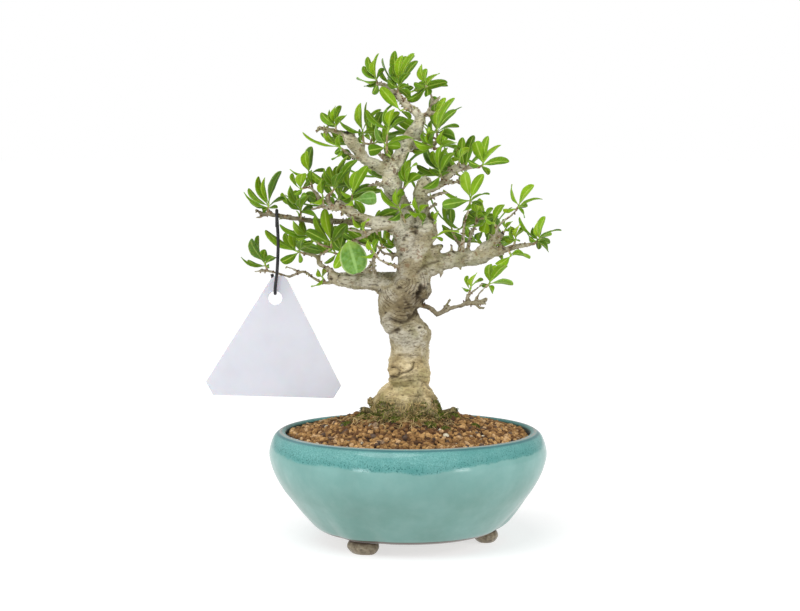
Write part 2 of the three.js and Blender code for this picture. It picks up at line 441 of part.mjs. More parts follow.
    { from: [60, 179, -5.4], tufts: [
      { at: [61.6, 175.2, -10], leaves: [[53, 169.5, 5], [72.5, 174, 1.3], [70.5, 175.5, 4.2]] }] },
  ],
  low_right: [
    { from: [46.4, 156.6, -14], tufts: [
      { at: [49.3, 159.2, -14.5], leaves: [[48.5, 170.5, 5.4], [53, 169, 4], [58.5, 170.3, 5.6], [62.5, 158.3, 3.4],
        [51, 153.5, 3.4], [44, 158.5, 2]] }] },
    { from: [36.3, 152, -12], tufts: [
      { at: [37.6, 156.6, -13.5], leaves: [[40.5, 164.6, 3.6], [44.5, 161, 1.6], [32.5, 156, 1.6], [35.5, 163, 2]] }] },
  ],
  back: [
    { from: [-37, 173, 49], fork: [-39.6, 175.7, 52.1], tufts: [
      { at: [-40, 181, 55], count: 4 }, { at: [-47, 178, 50], count: 4 }, { at: [-36, 178, 60], count: 4 }] },
    { from: [-18, 176.5, 47.6], fork: [-15.8, 180, 50.9], tufts: [
      { at: [-15, 184, 52], count: 4 }, { at: [-22, 183, 56], count: 4 }, { at: [-10, 181, 58], count: 4 }] },
    { from: [44, 178, 46.6], fork: [48, 180.4, 49.7], tufts: [
      { at: [49, 185, 51], count: 4 }, { at: [41, 184, 56], count: 4 }, { at: [52, 181, 42], count: 4 }] },
    { from: [28.8, 185.5, 46.6], fork: [26.9, 189, 49.9], tufts: [
      { at: [26, 193, 51], count: 4 }, { at: [32, 192, 45], count: 4 }] },
    { from: [-4.3, 219, 40.4], fork: [-3.5, 222.1, 44.3], tufts: [
      { at: [-3, 227, 45], count: 4 }, { at: [-12, 223, 47], count: 4 }, { at: [5, 222, 50], count: 4 }] },
    { from: [-39, 202.3, 30.6], fork: [-41.6, 204.5, 34.1], tufts: [
      { at: [-41, 210, 33], count: 4 }, { at: [-48, 206, 28], count: 4 }, { at: [-34, 208, 40], count: 4 }] },
    { from: [15, 242.4, 30], fork: [17.7, 244.5, 33], tufts: [
      { at: [17, 250, 32], count: 4 }, { at: [10, 248, 36], count: 4 }] },
    { from: [-20.3, 239.3, 28], fork: [-22.3, 241.7, 31.1], tufts: [
      { at: [-21, 247, 30], count: 4 }, { at: [-29, 243, 27], count: 4 }, { at: [-18, 243, 38], count: 4 }] },
    { from: [-3.4, 269.3, 13.2], fork: [-5.4, 271.7, 16.3], tufts: [
      { at: [-5, 277, 16], count: 4 }, { at: [3, 273, 20], count: 4 }] },
    { from: [30.6, 219.7, 20.4], fork: [33.8, 221, 24.2], tufts: [
      { at: [34, 226, 24], count: 4 }, { at: [28, 225, 30], count: 4 }] },
  ],
};

// A leaf's pose: where it springs from, where its tip is, which way its upper face looks, and its width
function pose(base, tip, width, shown, turn) {
  const along = tip.clone().sub(base).normalize();
  const wide = new THREE.Vector3(0, -1, 0).cross(along).normalize();
  const lean = Math.acos(Math.min(shown / width, 1)) + turn;
  const flat = wide.applyAxisAngle(along, lean);
  return { base, tip, along, flat, face: flat.clone().cross(along), width, length: base.distanceTo(tip) };
}

// Stations along a blade: share of the length, share of the half width
const LEAF_STATIONS = [[0, 0], [0.48, 1], [0.82, 0.74], [1, 0]];
const ROOM_STATIONS = [[0.12, 0], [0.48, 1], [0.82, 0.74], [1.02, 0]];
const LEAF_BOW = 0.07;
const LEAF_FOLD = 0.22;

// A folded blade with a keel below: a three-sided ball whose rings are moved onto the stations
function blade(leaf, stations, room) {
  const rows = stations.length - 1;
  const geometry = new THREE.SphereGeometry(1, 3, rows);
  const position = geometry.attributes.position;
  for (let i = 0; i < position.count; i++) {
    const polar = Math.acos(THREE.MathUtils.clamp(position.getY(i), -1, 1));
    const [share, wide] = stations[rows - Math.round((polar / Math.PI) * rows)];
    const side = Math.abs(position.getZ(i)) < 0.05 ? 0 : Math.sign(position.getZ(i));
    const half = wide ? (leaf.width / 2) * wide + room : 0;
    const bow = LEAF_BOW * leaf.length * 4 * share * (1 - share);
    const lift = side ? LEAF_FOLD * half + room : -LEAF_KEEL - room;
    const point = leaf.base.clone().addScaledVector(leaf.along, share * leaf.length);
    point.addScaledVector(leaf.flat, -side * half).addScaledVector(leaf.face, bow + (wide ? lift : 0));
    position.setXYZ(i, point.x, point.y, point.z);
  }
  return solidOf(geometry);
}

// Ways to swing a leaf that would touch something: change of the tip's depth, and turn about its own length
const SWINGS = [[0, 0], [6, 0], [-6, 0], [0, 0.7], [0, -0.7], [12, 0], [-12, 0], [6, 0.7], [-6, -0.7], [18, 0], [-18, 0]];

// The line of a tuft's own shoot, up to its crown
function shootLine(spray, tuft) {
  return [spray.fork ?? spray.from, ...(tuft.via ?? []), tuft.at].map(seen);
}

// All poses that a leaf of a tuft may take, the wished one first
function choices(spray, tuft, index, counter) {
  const [below, crown] = shootLine(spray, tuft).slice(-2);
  const shoot = crown.clone().sub(below).normalize();
  const drop = Math.min(0.4 + 1.3 * Math.floor(index / 2), 0.5 * crown.distanceTo(below));
  const base = crown.clone().addScaledVector(shoot, -drop);
  const width = 5.6 + 2 * draw(counter, 1);
  const length = 17 + 5 * draw(counter, 2);
  if (tuft.leaves) {
    const [across, up, shown] = tuft.leaves[index];
    const [, , back] = tuft.at;
    const flatTip = seen([across, up, back]);
    const drawn = base.distanceTo(flatTip);
    const reach = Math.min(length, 1.35 * drawn + 1);
    const deep = Math.sqrt(Math.max(0, reach * reach - drawn * drawn)) * (index % 2 ? 1 : -1);
    return SWINGS.map(([push, turn]) =>
      pose(base, seen([across, up, back + deep + push]), Math.min(Math.max(width, shown), 0.45 * reach + shown * 0.3),
        shown, turn));
  }
  const open = 0.35 + 0.4 * Math.floor(index / 2) + 0.2 * draw(counter, 3);
  const round = Math.PI * index + (Math.PI / 2) * Math.floor(index / 2) + 6 * draw(tuft.count + crown.y, 4);
  return SWINGS.map(([push, turn]) => {
    const angle = round + push / 15;
    const out = new THREE.Vector3(Math.cos(angle), Math.sin(angle), 0);
    const tip = base.clone().addScaledVector(shoot, length * Math.cos(open));
    tip.addScaledVector(out, length * Math.sin(open));
    tip.z += 3;
    return pose(base, tip, width, width * Math.abs(Math.sin(angle)), turn);
  });
}

// Whether a solid touches any of the others
function touches(solid, others) {
  const own = solid.boundingBox();
  return others.some(({ box, body }) => {
    const apart = [0, 1, 2].some((k) => own.max[k] < box.min[k] || own.min[k] > box.max[k]);
    return !apart && !solid.intersect(body).isEmpty();
  });
}

function boxed(body) {
  return { box: body.boundingBox(), body };
}

function shootBar(line, radius) {
  const radii = line.map((_, i) => radius * (1 - (0.3 * i) / (line.length - 1)));
  return bentBar(line, radii, SHOOT_SIDES, 1, 0);
}

// A spray's shoots. The first one starts just clear of the bark that it grows from.
function shoots(spray, wood) {
  const lines = spray.tufts.map((tuft) => shootLine(spray, tuft));
  if (spray.fork) lines.unshift([spray.from, spray.fork].map(seen));
  const [inside, next] = lines[0];
  const onward = next.clone().sub(inside).normalize();
  const farthest = 0.9 * inside.distanceTo(next);
  const start = inside.clone();
  const probe = () => shootBar([start, start.clone().add(onward)], SHOOT_RADIUS + TOUCH_GAP);
  while (start.distanceTo(inside) < farthest && touches(probe(), wood)) start.addScaledVector(onward, 0.2);
  lines[0][0] = start;
  return join(lines.map((line) => shootBar(line, SHOOT_RADIUS)));
}

// Pot: thrown wall with a rounded shoulder and a thin rim, from the drainage hole round and back to it
const POT_PROFILE = [
  [DRAIN_RADIUS, POT_BASE], [45, POT_BASE], [51, 7.4], [56, 10], [60.5, 14.6], [65.5, 20.4],
  [75.6, 33.4], [80.4, 42.2], [83, 50.5], [83.2, 56], [80.8, 63.4], [77.8, 66.4], [75.6, 67],
  [73.6, 65.4], [77, 58.5], [78.2, 52], [76.6, 44], [70.5, 32.5], [61.5, 21], [53, 13.6],
  [45, POT_FLOOR], [DRAIN_RADIUS, POT_FLOOR],
];

function turned(profile, sides) {
  const points = profile.map(([radius, height]) => new THREE.Vector2(radius, height));
  return new THREE.LatheGeometry(points, sides).rotateX(Math.PI / 2);
}

function box(low, high) {
  const size = high.clone().sub(low);
  const middle = low.clone().add(high).multiplyScalar(0.5);
  return solidOf(new THREE.BoxGeometry(size.x, size.y, size.z).translate(middle.x, middle.y, middle.z));
}

function upright(radius, bottom, top, sides) {
  const geometry = new THREE.CylinderGeometry(radius, radius, top - bottom, sides).rotateX(Math.PI / 2);
  return geometry.translate(0, 0, (bottom + top) / 2);
}

function pot() {
  const wall = solidOf(turned([...POT_PROFILE, POT_PROFILE[0]], POT_SIDES));
  const floor = box(new THREE.Vector3(-60, -60, -20), new THREE.Vector3(60, 60, 0));
  const feet = FOOT_ANGLES.map((degrees) => {
    const angle = THREE.MathUtils.degToRad(degrees);
    const lobe = new THREE.SphereGeometry(1, 9, 6).rotateX(Math.PI / 2).scale(7.5, 10.5, 6.6);
    lobe.rotateZ(angle).translate(FOOT_CIRCLE * Math.cos(angle), FOOT_CIRCLE * Math.sin(angle), 3.4);
    return solidOf(lobe).subtract(floor);
  });
  return join([wall, ...feet]);
}

// Soil: fills the pot and mounds up to the trunk, with coarse grit as relief
const SOIL_SIDE = [
  [0, POT_FLOOR + TOUCH_GAP], [44.8, POT_FLOOR + TOUCH_GAP], [52.7, 13.9], [61.1, 21.3], [70.1, 32.8],
  [76.1, 44.2], [77.7, 52], [76.5, 58.3], [73.4, 64],
];
const SOIL_TOP = [[68, 65.4], [62, 66.8], [55.5, 68.4], [48.5, 70], [41.5, 71.6], [34, 73.3], [26.5, 74.9], [0, 76.4]];

function soil() {
  const geometry = turned([...SOIL_SIDE, ...SOIL_TOP], POT_SIDES);
  const position = geometry.attributes.position;
  const rows = SOIL_SIDE.length + SOIL_TOP.length;
  for (let i = 0; i < position.count; i++) {
    const row = i % rows;
    const column = Math.floor(i / rows) % POT_SIDES;
    if (row < SOIL_SIDE.length || row === rows - 1) continue;
    const grit = column * rows + row;
    position.setZ(i, position.getZ(i) + 1.8 * (draw(grit, 5) - 0.5));
    const swing = 0.05 * (draw(grit, 6) - 0.5);
    const spread = 1 + 0.03 * (draw(grit, 7) - 0.5);
    const x = position.getX(i);
    const y = position.getY(i);
    position.setX(i, spread * (x * Math.cos(swing) - y * Math.sin(swing)));
    position.setY(i, spread * (x * Math.sin(swing) + y * Math.cos(swing)));
  }
  const stumpHole = upright(STUMP_RADIUS + TOUCH_GAP, STUMP_BOTTOM - TOUCH_GAP, 90, STUMP_SIDES);
  stumpHole.translate(STUMP_CENTRE, 0, 0);
  const half = NET_SIDE / 2 + 0.6;
  const netRoom = box(new THREE.Vector3(-half, -half, 0),
    new THREE.Vector3(half, half, POT_FLOOR + 2 * TOUCH_GAP + NET_THICK));
  return oneBody(solidOf(geometry).subtract(solidOf(stumpHole)).subtract(netRoom));
}

// Net over the drainage hole: a plate with square openings
function net() {
  const openings = 3;
  const bar = 2;
  const half = NET_SIDE / 2;
  const low = POT_FLOOR + TOUCH_GAP;
  const pitch = (NET_SIDE - bar) / openings;
  let plate = box(new THREE.Vector3(-half, -half, low), new THREE.Vector3(half, half, low + NET_THICK));
  for (let row = 0; row < openings; row++) {
    for (let column = 0; column < openings; column++) {
      const corner = new THREE.Vector3(-half + bar + column * pitch, -half + bar + row * pitch, low - 1);
      plate = plate.subtract(box(corner, corner.clone().add(new THREE.Vector3(pitch - bar, pitch - bar, NET_THICK + 2))));
    }
  }
  return oneBody(plate);
}

// Tag: a triangle with clipped corners and a rounded top, hanging from its hole
const TAG_OUTLINE = [[-117.2, 91.7], [-44.8, 89.8], [-40.2, 97.2], [-72.2, 161], [-74.6, 163.4], [-79.6, 163.6],
  [-82.2, 161.4], [-121.4, 99.7]];

function tag() {
  const flat = ([across, up]) => {
    const place = seen([across, up, TAG_BACK]);
    return new THREE.Vector2(place.x, place.z);
  };
  const outline = new THREE.Shape(TAG_OUTLINE.map(flat));
  const hole = flat(TAG_HOLE);
  outline.holes.push(new THREE.Path().absarc(hole.x, hole.y, TAG_HOLE_RADIUS, 0, 2 * Math.PI, true));
  const plate = new THREE.ExtrudeGeometry(outline, { depth: TAG_THICK, bevelEnabled: false, curveSegments: 6 });
  return solidOf(plate.rotateX(Math.PI / 2).translate(0, TAG_BACK + TAG_THICK / 2, 0));
}

// Wire: a hook over the branch, a long straight leg in front, and a hook through the tag's hole
function tagWire() {
  const [branchUp, branchBack, branchRadius] = BRANCH_UNDER_HOOK;
  const bend = branchRadius + TOUCH_GAP + WIRE_RADIUS;
  const lowBend = 3;
  const lowUp = TAG_HOLE[1] + TAG_HOLE_RADIUS - 0.5 - WIRE_RADIUS + lowBend;
  const places = [[-78.3, branchUp - 7, branchBack + bend], [-78.3, branchUp - 3, branchBack + bend]];
  for (let step = 0; step <= 6; step++) {
    const angle = (Math.PI * step) / 6;
    places.push([-78.3, branchUp + bend * Math.sin(angle), branchBack + bend * Math.cos(angle)]);
  }
  const front = TAG_BACK - lowBend;
  places.push([-78, 194, front], [-77.6, 185, front], [-77.8, 175, front], [-78.4, 165, front], [-79.2, 159, front]);
  for (let step = 0; step <= 6; step++) {
    const angle = Math.PI + (Math.PI * step) / 6;
    places.push([TAG_HOLE[0], lowUp + lowBend * Math.sin(angle), TAG_BACK + lowBend * Math.cos(angle)]);
  }
  places.push([-80.3, 160, TAG_BACK + lowBend], [-81.4, 164.5, TAG_BACK + lowBend]);
  return bentBar(places.map(seen), places.map(() => WIRE_RADIUS), WIRE_SIDES, 1, 0);
}

// Assembly
const bonsai = new THREE.Group();
const hanging = { plant_tag: tag(), tag_wire: tagWire() };
const container = { pot: pot(), soil: soil(), drainage_net: net() };
const sprays = Object.entries(SPRAYS).flatMap(([place, list]) =>
  list.map((spray, i) => ({ ...spray, name: `leaves_${place}_${i + 1}` })));
const wood = [trunk(), ...LIMBS.map(limb)];
const tree = join(wood);
const woodBoxes = wood.map(boxed);
for (const spray of sprays) spray.body = shoots(spray, woodBoxes);

// Each leaf takes the first pose in which it stays clear of everything else, or is left out
const still = [...woodBoxes, ...[...Object.values(hanging), ...Object.values(container)].map(boxed)];
let counter = 0;
for (const spray of sprays) {
  const others = [...still, ...sprays.filter((other) => other !== spray).map((other) => boxed(other.body))];
  const kept = [];
  for (const tuft of spray.tufts) {
    const leaves = tuft.count ?? tuft.leaves.length;
    for (let index = 0; index < leaves; index++) {
      counter++;
      for (const leaf of choices(spray, tuft, index, counter)) {
        const room = boxed(blade(leaf, ROOM_STATIONS, LEAF_ROOM));
        const whole = boxed(blade(leaf, LEAF_STATIONS, 0));
        const blocked = touches(room.body, others) || touches(whole.body, others)
          || touches(room.body, kept.map((other) => other.whole))
          || touches(whole.body, kept.map((other) => other.room));
        if (blocked) continue;
        kept.push({ whole, room });
        break;
      }
    }
  }
  spray.body = join([spray.body, ...kept.map((leaf) => leaf.whole.body)]);
}

bonsai.add(meshOf("tree_wood", tree, COLOURS.bark));
bonsai.add(meshOf("pot", container.pot, COLOURS.glaze));
bonsai.add(meshOf("soil", container.soil, COLOURS.soil));
bonsai.add(meshOf("drainage_net", container.drainage_net, COLOURS.net));
bonsai.add(meshOf("plant_tag", hanging.plant_tag, COLOURS.tag));
bonsai.add(meshOf("tag_wire", hanging.tag_wire, COLOURS.wire));
for (const spray of sprays) bonsai.add(meshOf(spray.name, spray.body, COLOURS.leaf));

// The origin is at the middle of the underside of the whole
const extent = new THREE.Box3().setFromObject(bonsai);
const centre = extent.getCenter(new THREE.Vector3());
bonsai.position.set(-centre.x, -centre.y, -extent.min.z);
bonsai.updateMatrixWorld(true);

export default bonsai;
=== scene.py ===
# %% [markdown]
# # A border privet bonsai in its pot
#
# A small-leaved tree with a thick, pale, knobbly trunk stands in a round turquoise bowl. A blank plant
# tag hangs from one branch on a black wire.
#
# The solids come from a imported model: the wood, every leafy spray, the pot, the soil, the tag and its
# wire. This lesson turns each of them into something worth looking at. Lengths are in metres, and the
# front faces -Y.

import json
import math
import random

import bmesh
import bpy
from mathutils import Matrix, Vector, noise
from mathutils.bvhtree import BVHTree
from mathutils.geometry import intersect_point_line
from mathutils.kdtree import KDTree

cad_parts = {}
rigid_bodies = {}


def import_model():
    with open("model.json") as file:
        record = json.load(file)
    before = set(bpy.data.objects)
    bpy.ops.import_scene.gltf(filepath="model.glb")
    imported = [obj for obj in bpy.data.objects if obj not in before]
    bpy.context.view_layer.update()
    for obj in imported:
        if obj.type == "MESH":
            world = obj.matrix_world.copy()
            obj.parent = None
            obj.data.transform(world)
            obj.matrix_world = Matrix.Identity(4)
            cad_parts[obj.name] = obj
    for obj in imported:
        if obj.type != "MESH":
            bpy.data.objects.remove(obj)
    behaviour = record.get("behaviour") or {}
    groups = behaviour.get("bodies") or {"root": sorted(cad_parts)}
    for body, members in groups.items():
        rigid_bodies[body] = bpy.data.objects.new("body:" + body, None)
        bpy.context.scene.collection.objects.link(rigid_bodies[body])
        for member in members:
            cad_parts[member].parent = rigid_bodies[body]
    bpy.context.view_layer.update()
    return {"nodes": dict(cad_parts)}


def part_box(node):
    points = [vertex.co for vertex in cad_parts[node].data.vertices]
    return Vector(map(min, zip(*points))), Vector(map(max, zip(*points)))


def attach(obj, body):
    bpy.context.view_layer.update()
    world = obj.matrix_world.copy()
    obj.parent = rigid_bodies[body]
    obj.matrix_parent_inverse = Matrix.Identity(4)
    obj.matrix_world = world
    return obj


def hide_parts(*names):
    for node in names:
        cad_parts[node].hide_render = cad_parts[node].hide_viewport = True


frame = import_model()

# %% [markdown]
# ## Finding places on the tree
#
# The tree was measured from the front, in an upright plane through its trunk: millimetres across,
# millimetres up, and a depth behind that plane. A place that moves back along the line of sight has to
# spread away from the eye's height, or it would slide over the things in front of it. One function holds
# that rule for the whole lesson. Its inverse tells where a finished vertex is seen.

# %% Places as seen from the front
MM = 0.001
EYE_DISTANCE = 1150
EYE_HEIGHT = 235
TABLE_READING = 3.5

net_low, net_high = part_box("drainage_net")
pot_axis = (net_low + net_high) / 2
pot_axis.z = 0


def seen(across, up, back):
    """The place in millimetres, measured from the foot of the pot's axis."""
    grow = 1 + back / EYE_DISTANCE
    return Vector((across * grow, back, EYE_HEIGHT - (EYE_HEIGHT + TABLE_READING - up) * grow))


def place(across, up, back):
    """The same place in Blender's metres."""
    return pot_axis + seen(across, up, back) * MM


def reading(spot):
    """How far across and how high up a spot is seen."""
    own = (spot - pot_axis) / MM
    grow = 1 + own.y / EYE_DISTANCE
    return own.x / grow, EYE_HEIGHT + TABLE_READING - (EYE_HEIGHT - own.z) / grow


print("pot axis at", [round(value, 4) for value in pot_axis])

# %% [markdown]
# ## Small tools
#
# Every material here is a little tree of nodes on one Principled shader, so a few short helpers keep the
# finishes readable: one starts a material, one adds a node, and the others link a ramp, a mix or a bump.
# Colours are given as they look on a screen, and a helper turns them into the linear values that the
# shader works with.

# %% Material helpers
def colour(red, green, blue):
    """A screen colour of 0 to 255 in the shader's linear values."""
    return tuple((value / 255) ** 2.2 for value in (red, green, blue)) + (1,)


def shader_of(finish):
    return finish.node_tree.nodes["Principled BSDF"]


def start_finish(name, roughness, **sockets):
    """A new material, with plain values on its Principled shader."""
    made = bpy.data.materials.new(name)
    made.use_nodes = True
    shader = shader_of(made)
    shader.inputs["Roughness"].default_value = roughness
    for socket, value in sockets.items():
        shader.inputs[socket.replace("_", " ")].default_value = value
    return made


def add(finish, kind, **settings):
    """A new node. Settings that start with a capital letter are its sockets."""
    node = finish.node_tree.nodes.new("ShaderNode" + kind)
    for key, value in settings.items():
        if key[0].isupper():
            node.inputs[key.replace("_", " ")].default_value = value
        else:
            setattr(node, key, value)
    return node


def link(finish, source, target):
    """Links a socket to the target, or sets a plain value on it."""
    if isinstance(source, bpy.types.NodeSocket):
        finish.node_tree.links.new(source, target)
    else:
        target.default_value = source


print("a screen grey of 128 is", round(colour(128, 128, 128)[0], 3), "in the shader")

# %% [markdown]
# Patterns sit on Object coordinates, so they stay in place on the piece. A cloud of noise gives a factor,
# a ramp or a mix turns a factor into colour, and a paint is a second colour that lies over the first
# where a mask allows it.

# %% Patterns, masks and mixes
def spots(finish, scale, offset=(0, 0, 0)):
    """Object coordinates, scaled and shifted."""
    coordinates = add(finish, "TexCoord")
    mapping = add(finish, "Mapping", Scale=scale, Location=offset)
    link(finish, coordinates.outputs["Object"], mapping.inputs["Vector"])
    return mapping.outputs["Vector"]


def axes(finish):
    """The object coordinates as separate values X, Y and Z."""
    made = add(finish, "SeparateXYZ")
    link(finish, spots(finish, (1, 1, 1)), made.inputs["Vector"])
    return made.outputs


def cloud(finish, scale, detail=3, roughness=0.55, stretch=(1, 1, 1)):
    """Noise with grains of about 1 / scale metres."""
    texture = add(finish, "TexNoise", Scale=scale, Detail=detail, Roughness=roughness)
    link(finish, spots(finish, stretch), texture.inputs["Vector"])
    return texture.outputs["Fac"]


def ramp(finish, factor, *stops):
    """A colour ramp with stops of (position, red, green, blue)."""
    made = add(finish, "ValToRGB")
    elements = made.color_ramp.elements
    elements.remove(elements[1])
    position, *shade = stops[0]
    elements[0].position = position
    elements[0].color = colour(*shade)
    for position, *shade in stops[1:]:
        elements.new(position).color = colour(*shade)
    link(finish, factor, made.inputs["Fac"])
    return made.outputs["Color"]


def grey(finish, factor, low, high):
    """A factor stretched from low..high to 0..1."""
    made = add(finish, "MapRange", From_Min=low, From_Max=high, interpolation_type="SMOOTHSTEP")
    link(finish, factor, made.inputs["Value"])
    return made.outputs["Result"]


def mix(finish, factor, first, second):
    """Two colours mixed by a factor. Each may be a socket or a plain colour."""
    made = add(finish, "Mix", data_type="RGBA")
    for index, value in ((0, factor), (6, first), (7, second)):
        link(finish, value, made.inputs[index])
    return made.outputs[2]


def sums(finish, operation, first, second=0):
    """A sum of two values, by any operation of the Math node."""
    made = add(finish, "Math", operation=operation)
    for index, value in enumerate((first, second)):
        link(finish, value, made.inputs[index])
    return made.outputs[0]


def times(finish, first, second):
    return sums(finish, "MULTIPLY", first, second)


def plus(finish, first, second):
    return sums(finish, "ADD", first, second)


def paint(finish, shade, mask, share, second):
    """A second colour over the shade, where the mask is and at most by the share."""
    return mix(finish, times(finish, mask, share), shade, second)


def attribute(finish, name):
    return add(finish, "Attribute", attribute_name=name).outputs["Fac"]


def bump(finish, height, strength, distance, under=None):
    """Relief from a height, over the relief that lies under it."""
    made = add(finish, "Bump", Strength=strength, Distance=distance)
    link(finish, height, made.inputs["Height"])
    if under:
        link(finish, under, made.inputs["Normal"])
    return made.outputs["Normal"]


def dress(finish, shade, relief=None, roughness=None):
    """Links the colour, the relief and the roughness to the shader."""
    shader = shader_of(finish)
    link(finish, shade, shader.inputs["Base Color"])
    if relief:
        link(finish, relief, shader.inputs["Normal"])
    if roughness:
        link(finish, roughness, shader.inputs["Roughness"])


print("material helpers ready")

# %% [markdown]
# ## Camera, light and floor
#
# The pot's rim is seen as a flat ellipse, so the eye is a little above the tree and far away: a long
# lens. The picture has a white ground and almost no shadow, as in a light tent. A white world gives that
# even light. It is shown at full white but lights the tree at about a third of that, so that a soft sun
# and two side lamps can still model the forms. The side lamps are kept out of reflections. Two small
# windows in front add hardly any light, but they lay their shapes on the glaze.

# %% Camera
scene = bpy.context.scene
LENS = 86.7
LOOK_DOWN = 4.62
CAMERA_ACROSS = -4.8

lens = bpy.data.cameras.new("camera")
lens.lens = LENS
lens.sensor_width = 36
lens.clip_start = 0.05
lens.clip_end = 100
camera = bpy.data.objects.new("camera", lens)
camera.location = pot_axis + Vector((CAMERA_ACROSS, -EYE_DISTANCE, EYE_HEIGHT)) * MM
camera.rotation_euler = (math.radians(90 - LOOK_DOWN), 0, 0)
scene.collection.objects.link(camera)
scene.camera = camera
print("camera at", [round(value, 3) for value in camera.location])

# %% World
TENT_LIGHT = 0.34
TENT_SHOWN = 1.0
scene.view_settings.view_transform = "Standard"
world = bpy.data.worlds.new("light_tent")
world.use_nodes = True
sky = world.node_tree.nodes["Background"]
sky.inputs["Color"].default_value = (1, 1, 1, 1)
path = world.node_tree.nodes.new("ShaderNodeLightPath")
strength = world.node_tree.nodes.new("ShaderNodeMapRange")
strength.inputs["To Min"].default_value = TENT_LIGHT
strength.inputs["To Max"].default_value = TENT_SHOWN
world.node_tree.links.new(path.outputs["Is Camera Ray"], strength.inputs["Value"])
world.node_tree.links.new(strength.outputs["Result"], sky.inputs["Strength"])
scene.world = world
print("the world lights with", TENT_LIGHT, "and is shown with", TENT_SHOWN)

# %% Lamps
BOWL_MIDDLE = (0, 0, 0.06)
TREE_MIDDLE = (0, 0, 0.15)
WINDOW_SIDE = 0.26
LAMP_SIDE = 0.8


def lamp(name, spot, target, side, power):
    """A square lamp that faces its target."""
    light = bpy.data.lights.new(name, "AREA")
    light.shape = "RECTANGLE"
    light.size = side
    light.size_y = side
    light.energy = power
    made = bpy.data.objects.new(name, light)
    made.location = spot
    made.rotation_euler = (Vector(target) - Vector(spot)).to_track_quat("-Z", "Y").to_euler()
    scene.collection.objects.link(made)
    return made


lamp("window_left", (-0.75, -1.0, 0.14), BOWL_MIDDLE, WINDOW_SIDE, 2.2)
lamp("window_right", (0.85, -0.9, 0.14), BOWL_MIDDLE, WINDOW_SIDE, 2.1)
for name, across, power in (("side_left", -1.3, 8), ("side_right", 1.3, 9)):
    side_lamp = lamp(name, (across, -0.33, 0.6), TREE_MIDDLE, LAMP_SIDE, power)
    side_lamp.visible_glossy = False
noon = bpy.data.lights.new("noon", "SUN")
noon.energy = 1.7
noon.angle = math.radians(40)
noon_lamp = bpy.data.objects.new("noon", noon)
noon_lamp.rotation_euler = (math.radians(24), math.radians(-14), 0)
scene.collection.objects.link(noon_lamp)

# %% Floor
FLOOR_SIZE = 40
FLOOR_GREY = (0.46, 0.46, 0.46, 1)
FLOOR_GLOW = 0.64
bm = bmesh.new()
bmesh.ops.create_grid(bm, x_segments=1, y_segments=1, size=FLOOR_SIZE)
floor_mesh = bpy.data.meshes.new("floor")
bm.to_mesh(floor_mesh)
bm.free()
floor_paper = start_finish("floor_paper", 0.9, Base_Color=FLOOR_GREY, Emission_Color=(1, 1, 1, 1),
                           Emission_Strength=FLOOR_GLOW)
floor_mesh.materials.append(floor_paper)
floor = bpy.data.objects.new("floor", floor_mesh)
scene.collection.objects.link(floor)
print("floor:", 2 * FLOOR_SIZE, "m wide")

# %% [markdown]
# ## From a bmesh to a finished piece
#
# A bmesh is a mesh on the workbench. When a shape is done, it becomes an object at the origin with its
# place in its mesh, it rides on the part's one body, and the solids that it stands for are hidden.

# %% Piece helpers
def finish_piece(name, bm, finish, nodes=(), smooth=True):
    """A bmesh as an object that replaces some of the solids."""
    mesh = bpy.data.meshes.new(name)
    bm.to_mesh(mesh)
    bm.free()
    mesh.materials.append(finish)
    if smooth:
        mesh.shade_smooth()
    made = bpy.data.objects.new(name, mesh)
    scene.collection.objects.link(made)
    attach(made, "root")
    if nodes:
        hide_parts(*nodes)
    return made


def ring_frames(places):
    """A matrix at each place whose Z axis follows the line, with no twist from one to the next."""
    frames = []
    side = Vector((1, 0.1, 0.05))
    for index, spot in enumerate(places):
        before = places[max(index - 1, 0)]
        after = places[min(index + 1, len(places) - 1)]
        along = (after - before).normalized()
        side = (side - along * side.dot(along)).normalized()
        over = along.cross(side)
        frames.append(Matrix.Translation(spot) @ Matrix((side, over, along)).transposed().to_4x4())
    return frames


def tube(bm, places, radii, sides):
    """A round tube: a ring that is extruded from place to place."""
    frames = [spot @ Matrix.Scale(radius, 4) for spot, radius in zip(ring_frames(places), radii)]
    ring = bmesh.ops.create_circle(bm, cap_ends=True, segments=sides, radius=1, matrix=frames[0])["verts"]
    edges = list({edge for vert in ring for edge in vert.link_edges})
    corners = list(ring)
    for before, after in zip(frames, frames[1:]):
        grown = bmesh.ops.extrude_edge_only(bm, edges=edges)["geom"]
        ring = [part for part in grown if isinstance(part, bmesh.types.BMVert)]
        edges = [part for part in grown if isinstance(part, bmesh.types.BMEdge)
                 and set(part.verts) <= set(ring)]
        bmesh.ops.transform(bm, matrix=after @ before.inverted(), verts=ring)
        corners += ring
    bmesh.ops.edgeloop_fill(bm, edges=edges)
    return corners


def smooth_line(places, steps):
    """More places on a soft curve through the given ones."""
    line = []
    for index in range(len(places) - 1):
        first = places[max(index - 1, 0)]
        start, end = places[index], places[index + 1]
        last = places[min(index + 2, len(places) - 1)]
        for step in range(steps):
            t = step / steps
            straight = 2 * start + (end - first) * t
            square = (2 * first - 5 * start + 4 * end - last) * t * t
            cube = (3 * start - first - 3 * end + last) * t ** 3
            line.append(0.5 * (straight + square + cube))
    return line + [places[-1]]


print("piece helpers ready")

# %% [markdown]
# ## The wood
#
# Old privet bark is pale and smooth, but the stem below it is all knobs: folds where the trunk bends, a
# burl, cut branches that have healed over, and a flared foot. The solid has the trunk, every limb and
# every twig as joined bars with flat sides. Sculpting it by hand would be the studio way. Here a copy
# gets some buds and stubs, then a voxel remesh turns everything into one skin of even squares. On such a
# skin, smoothing rounds the bars, and every crease is a simple rule: move a vertex inwards when it lies
# near a drawn line.

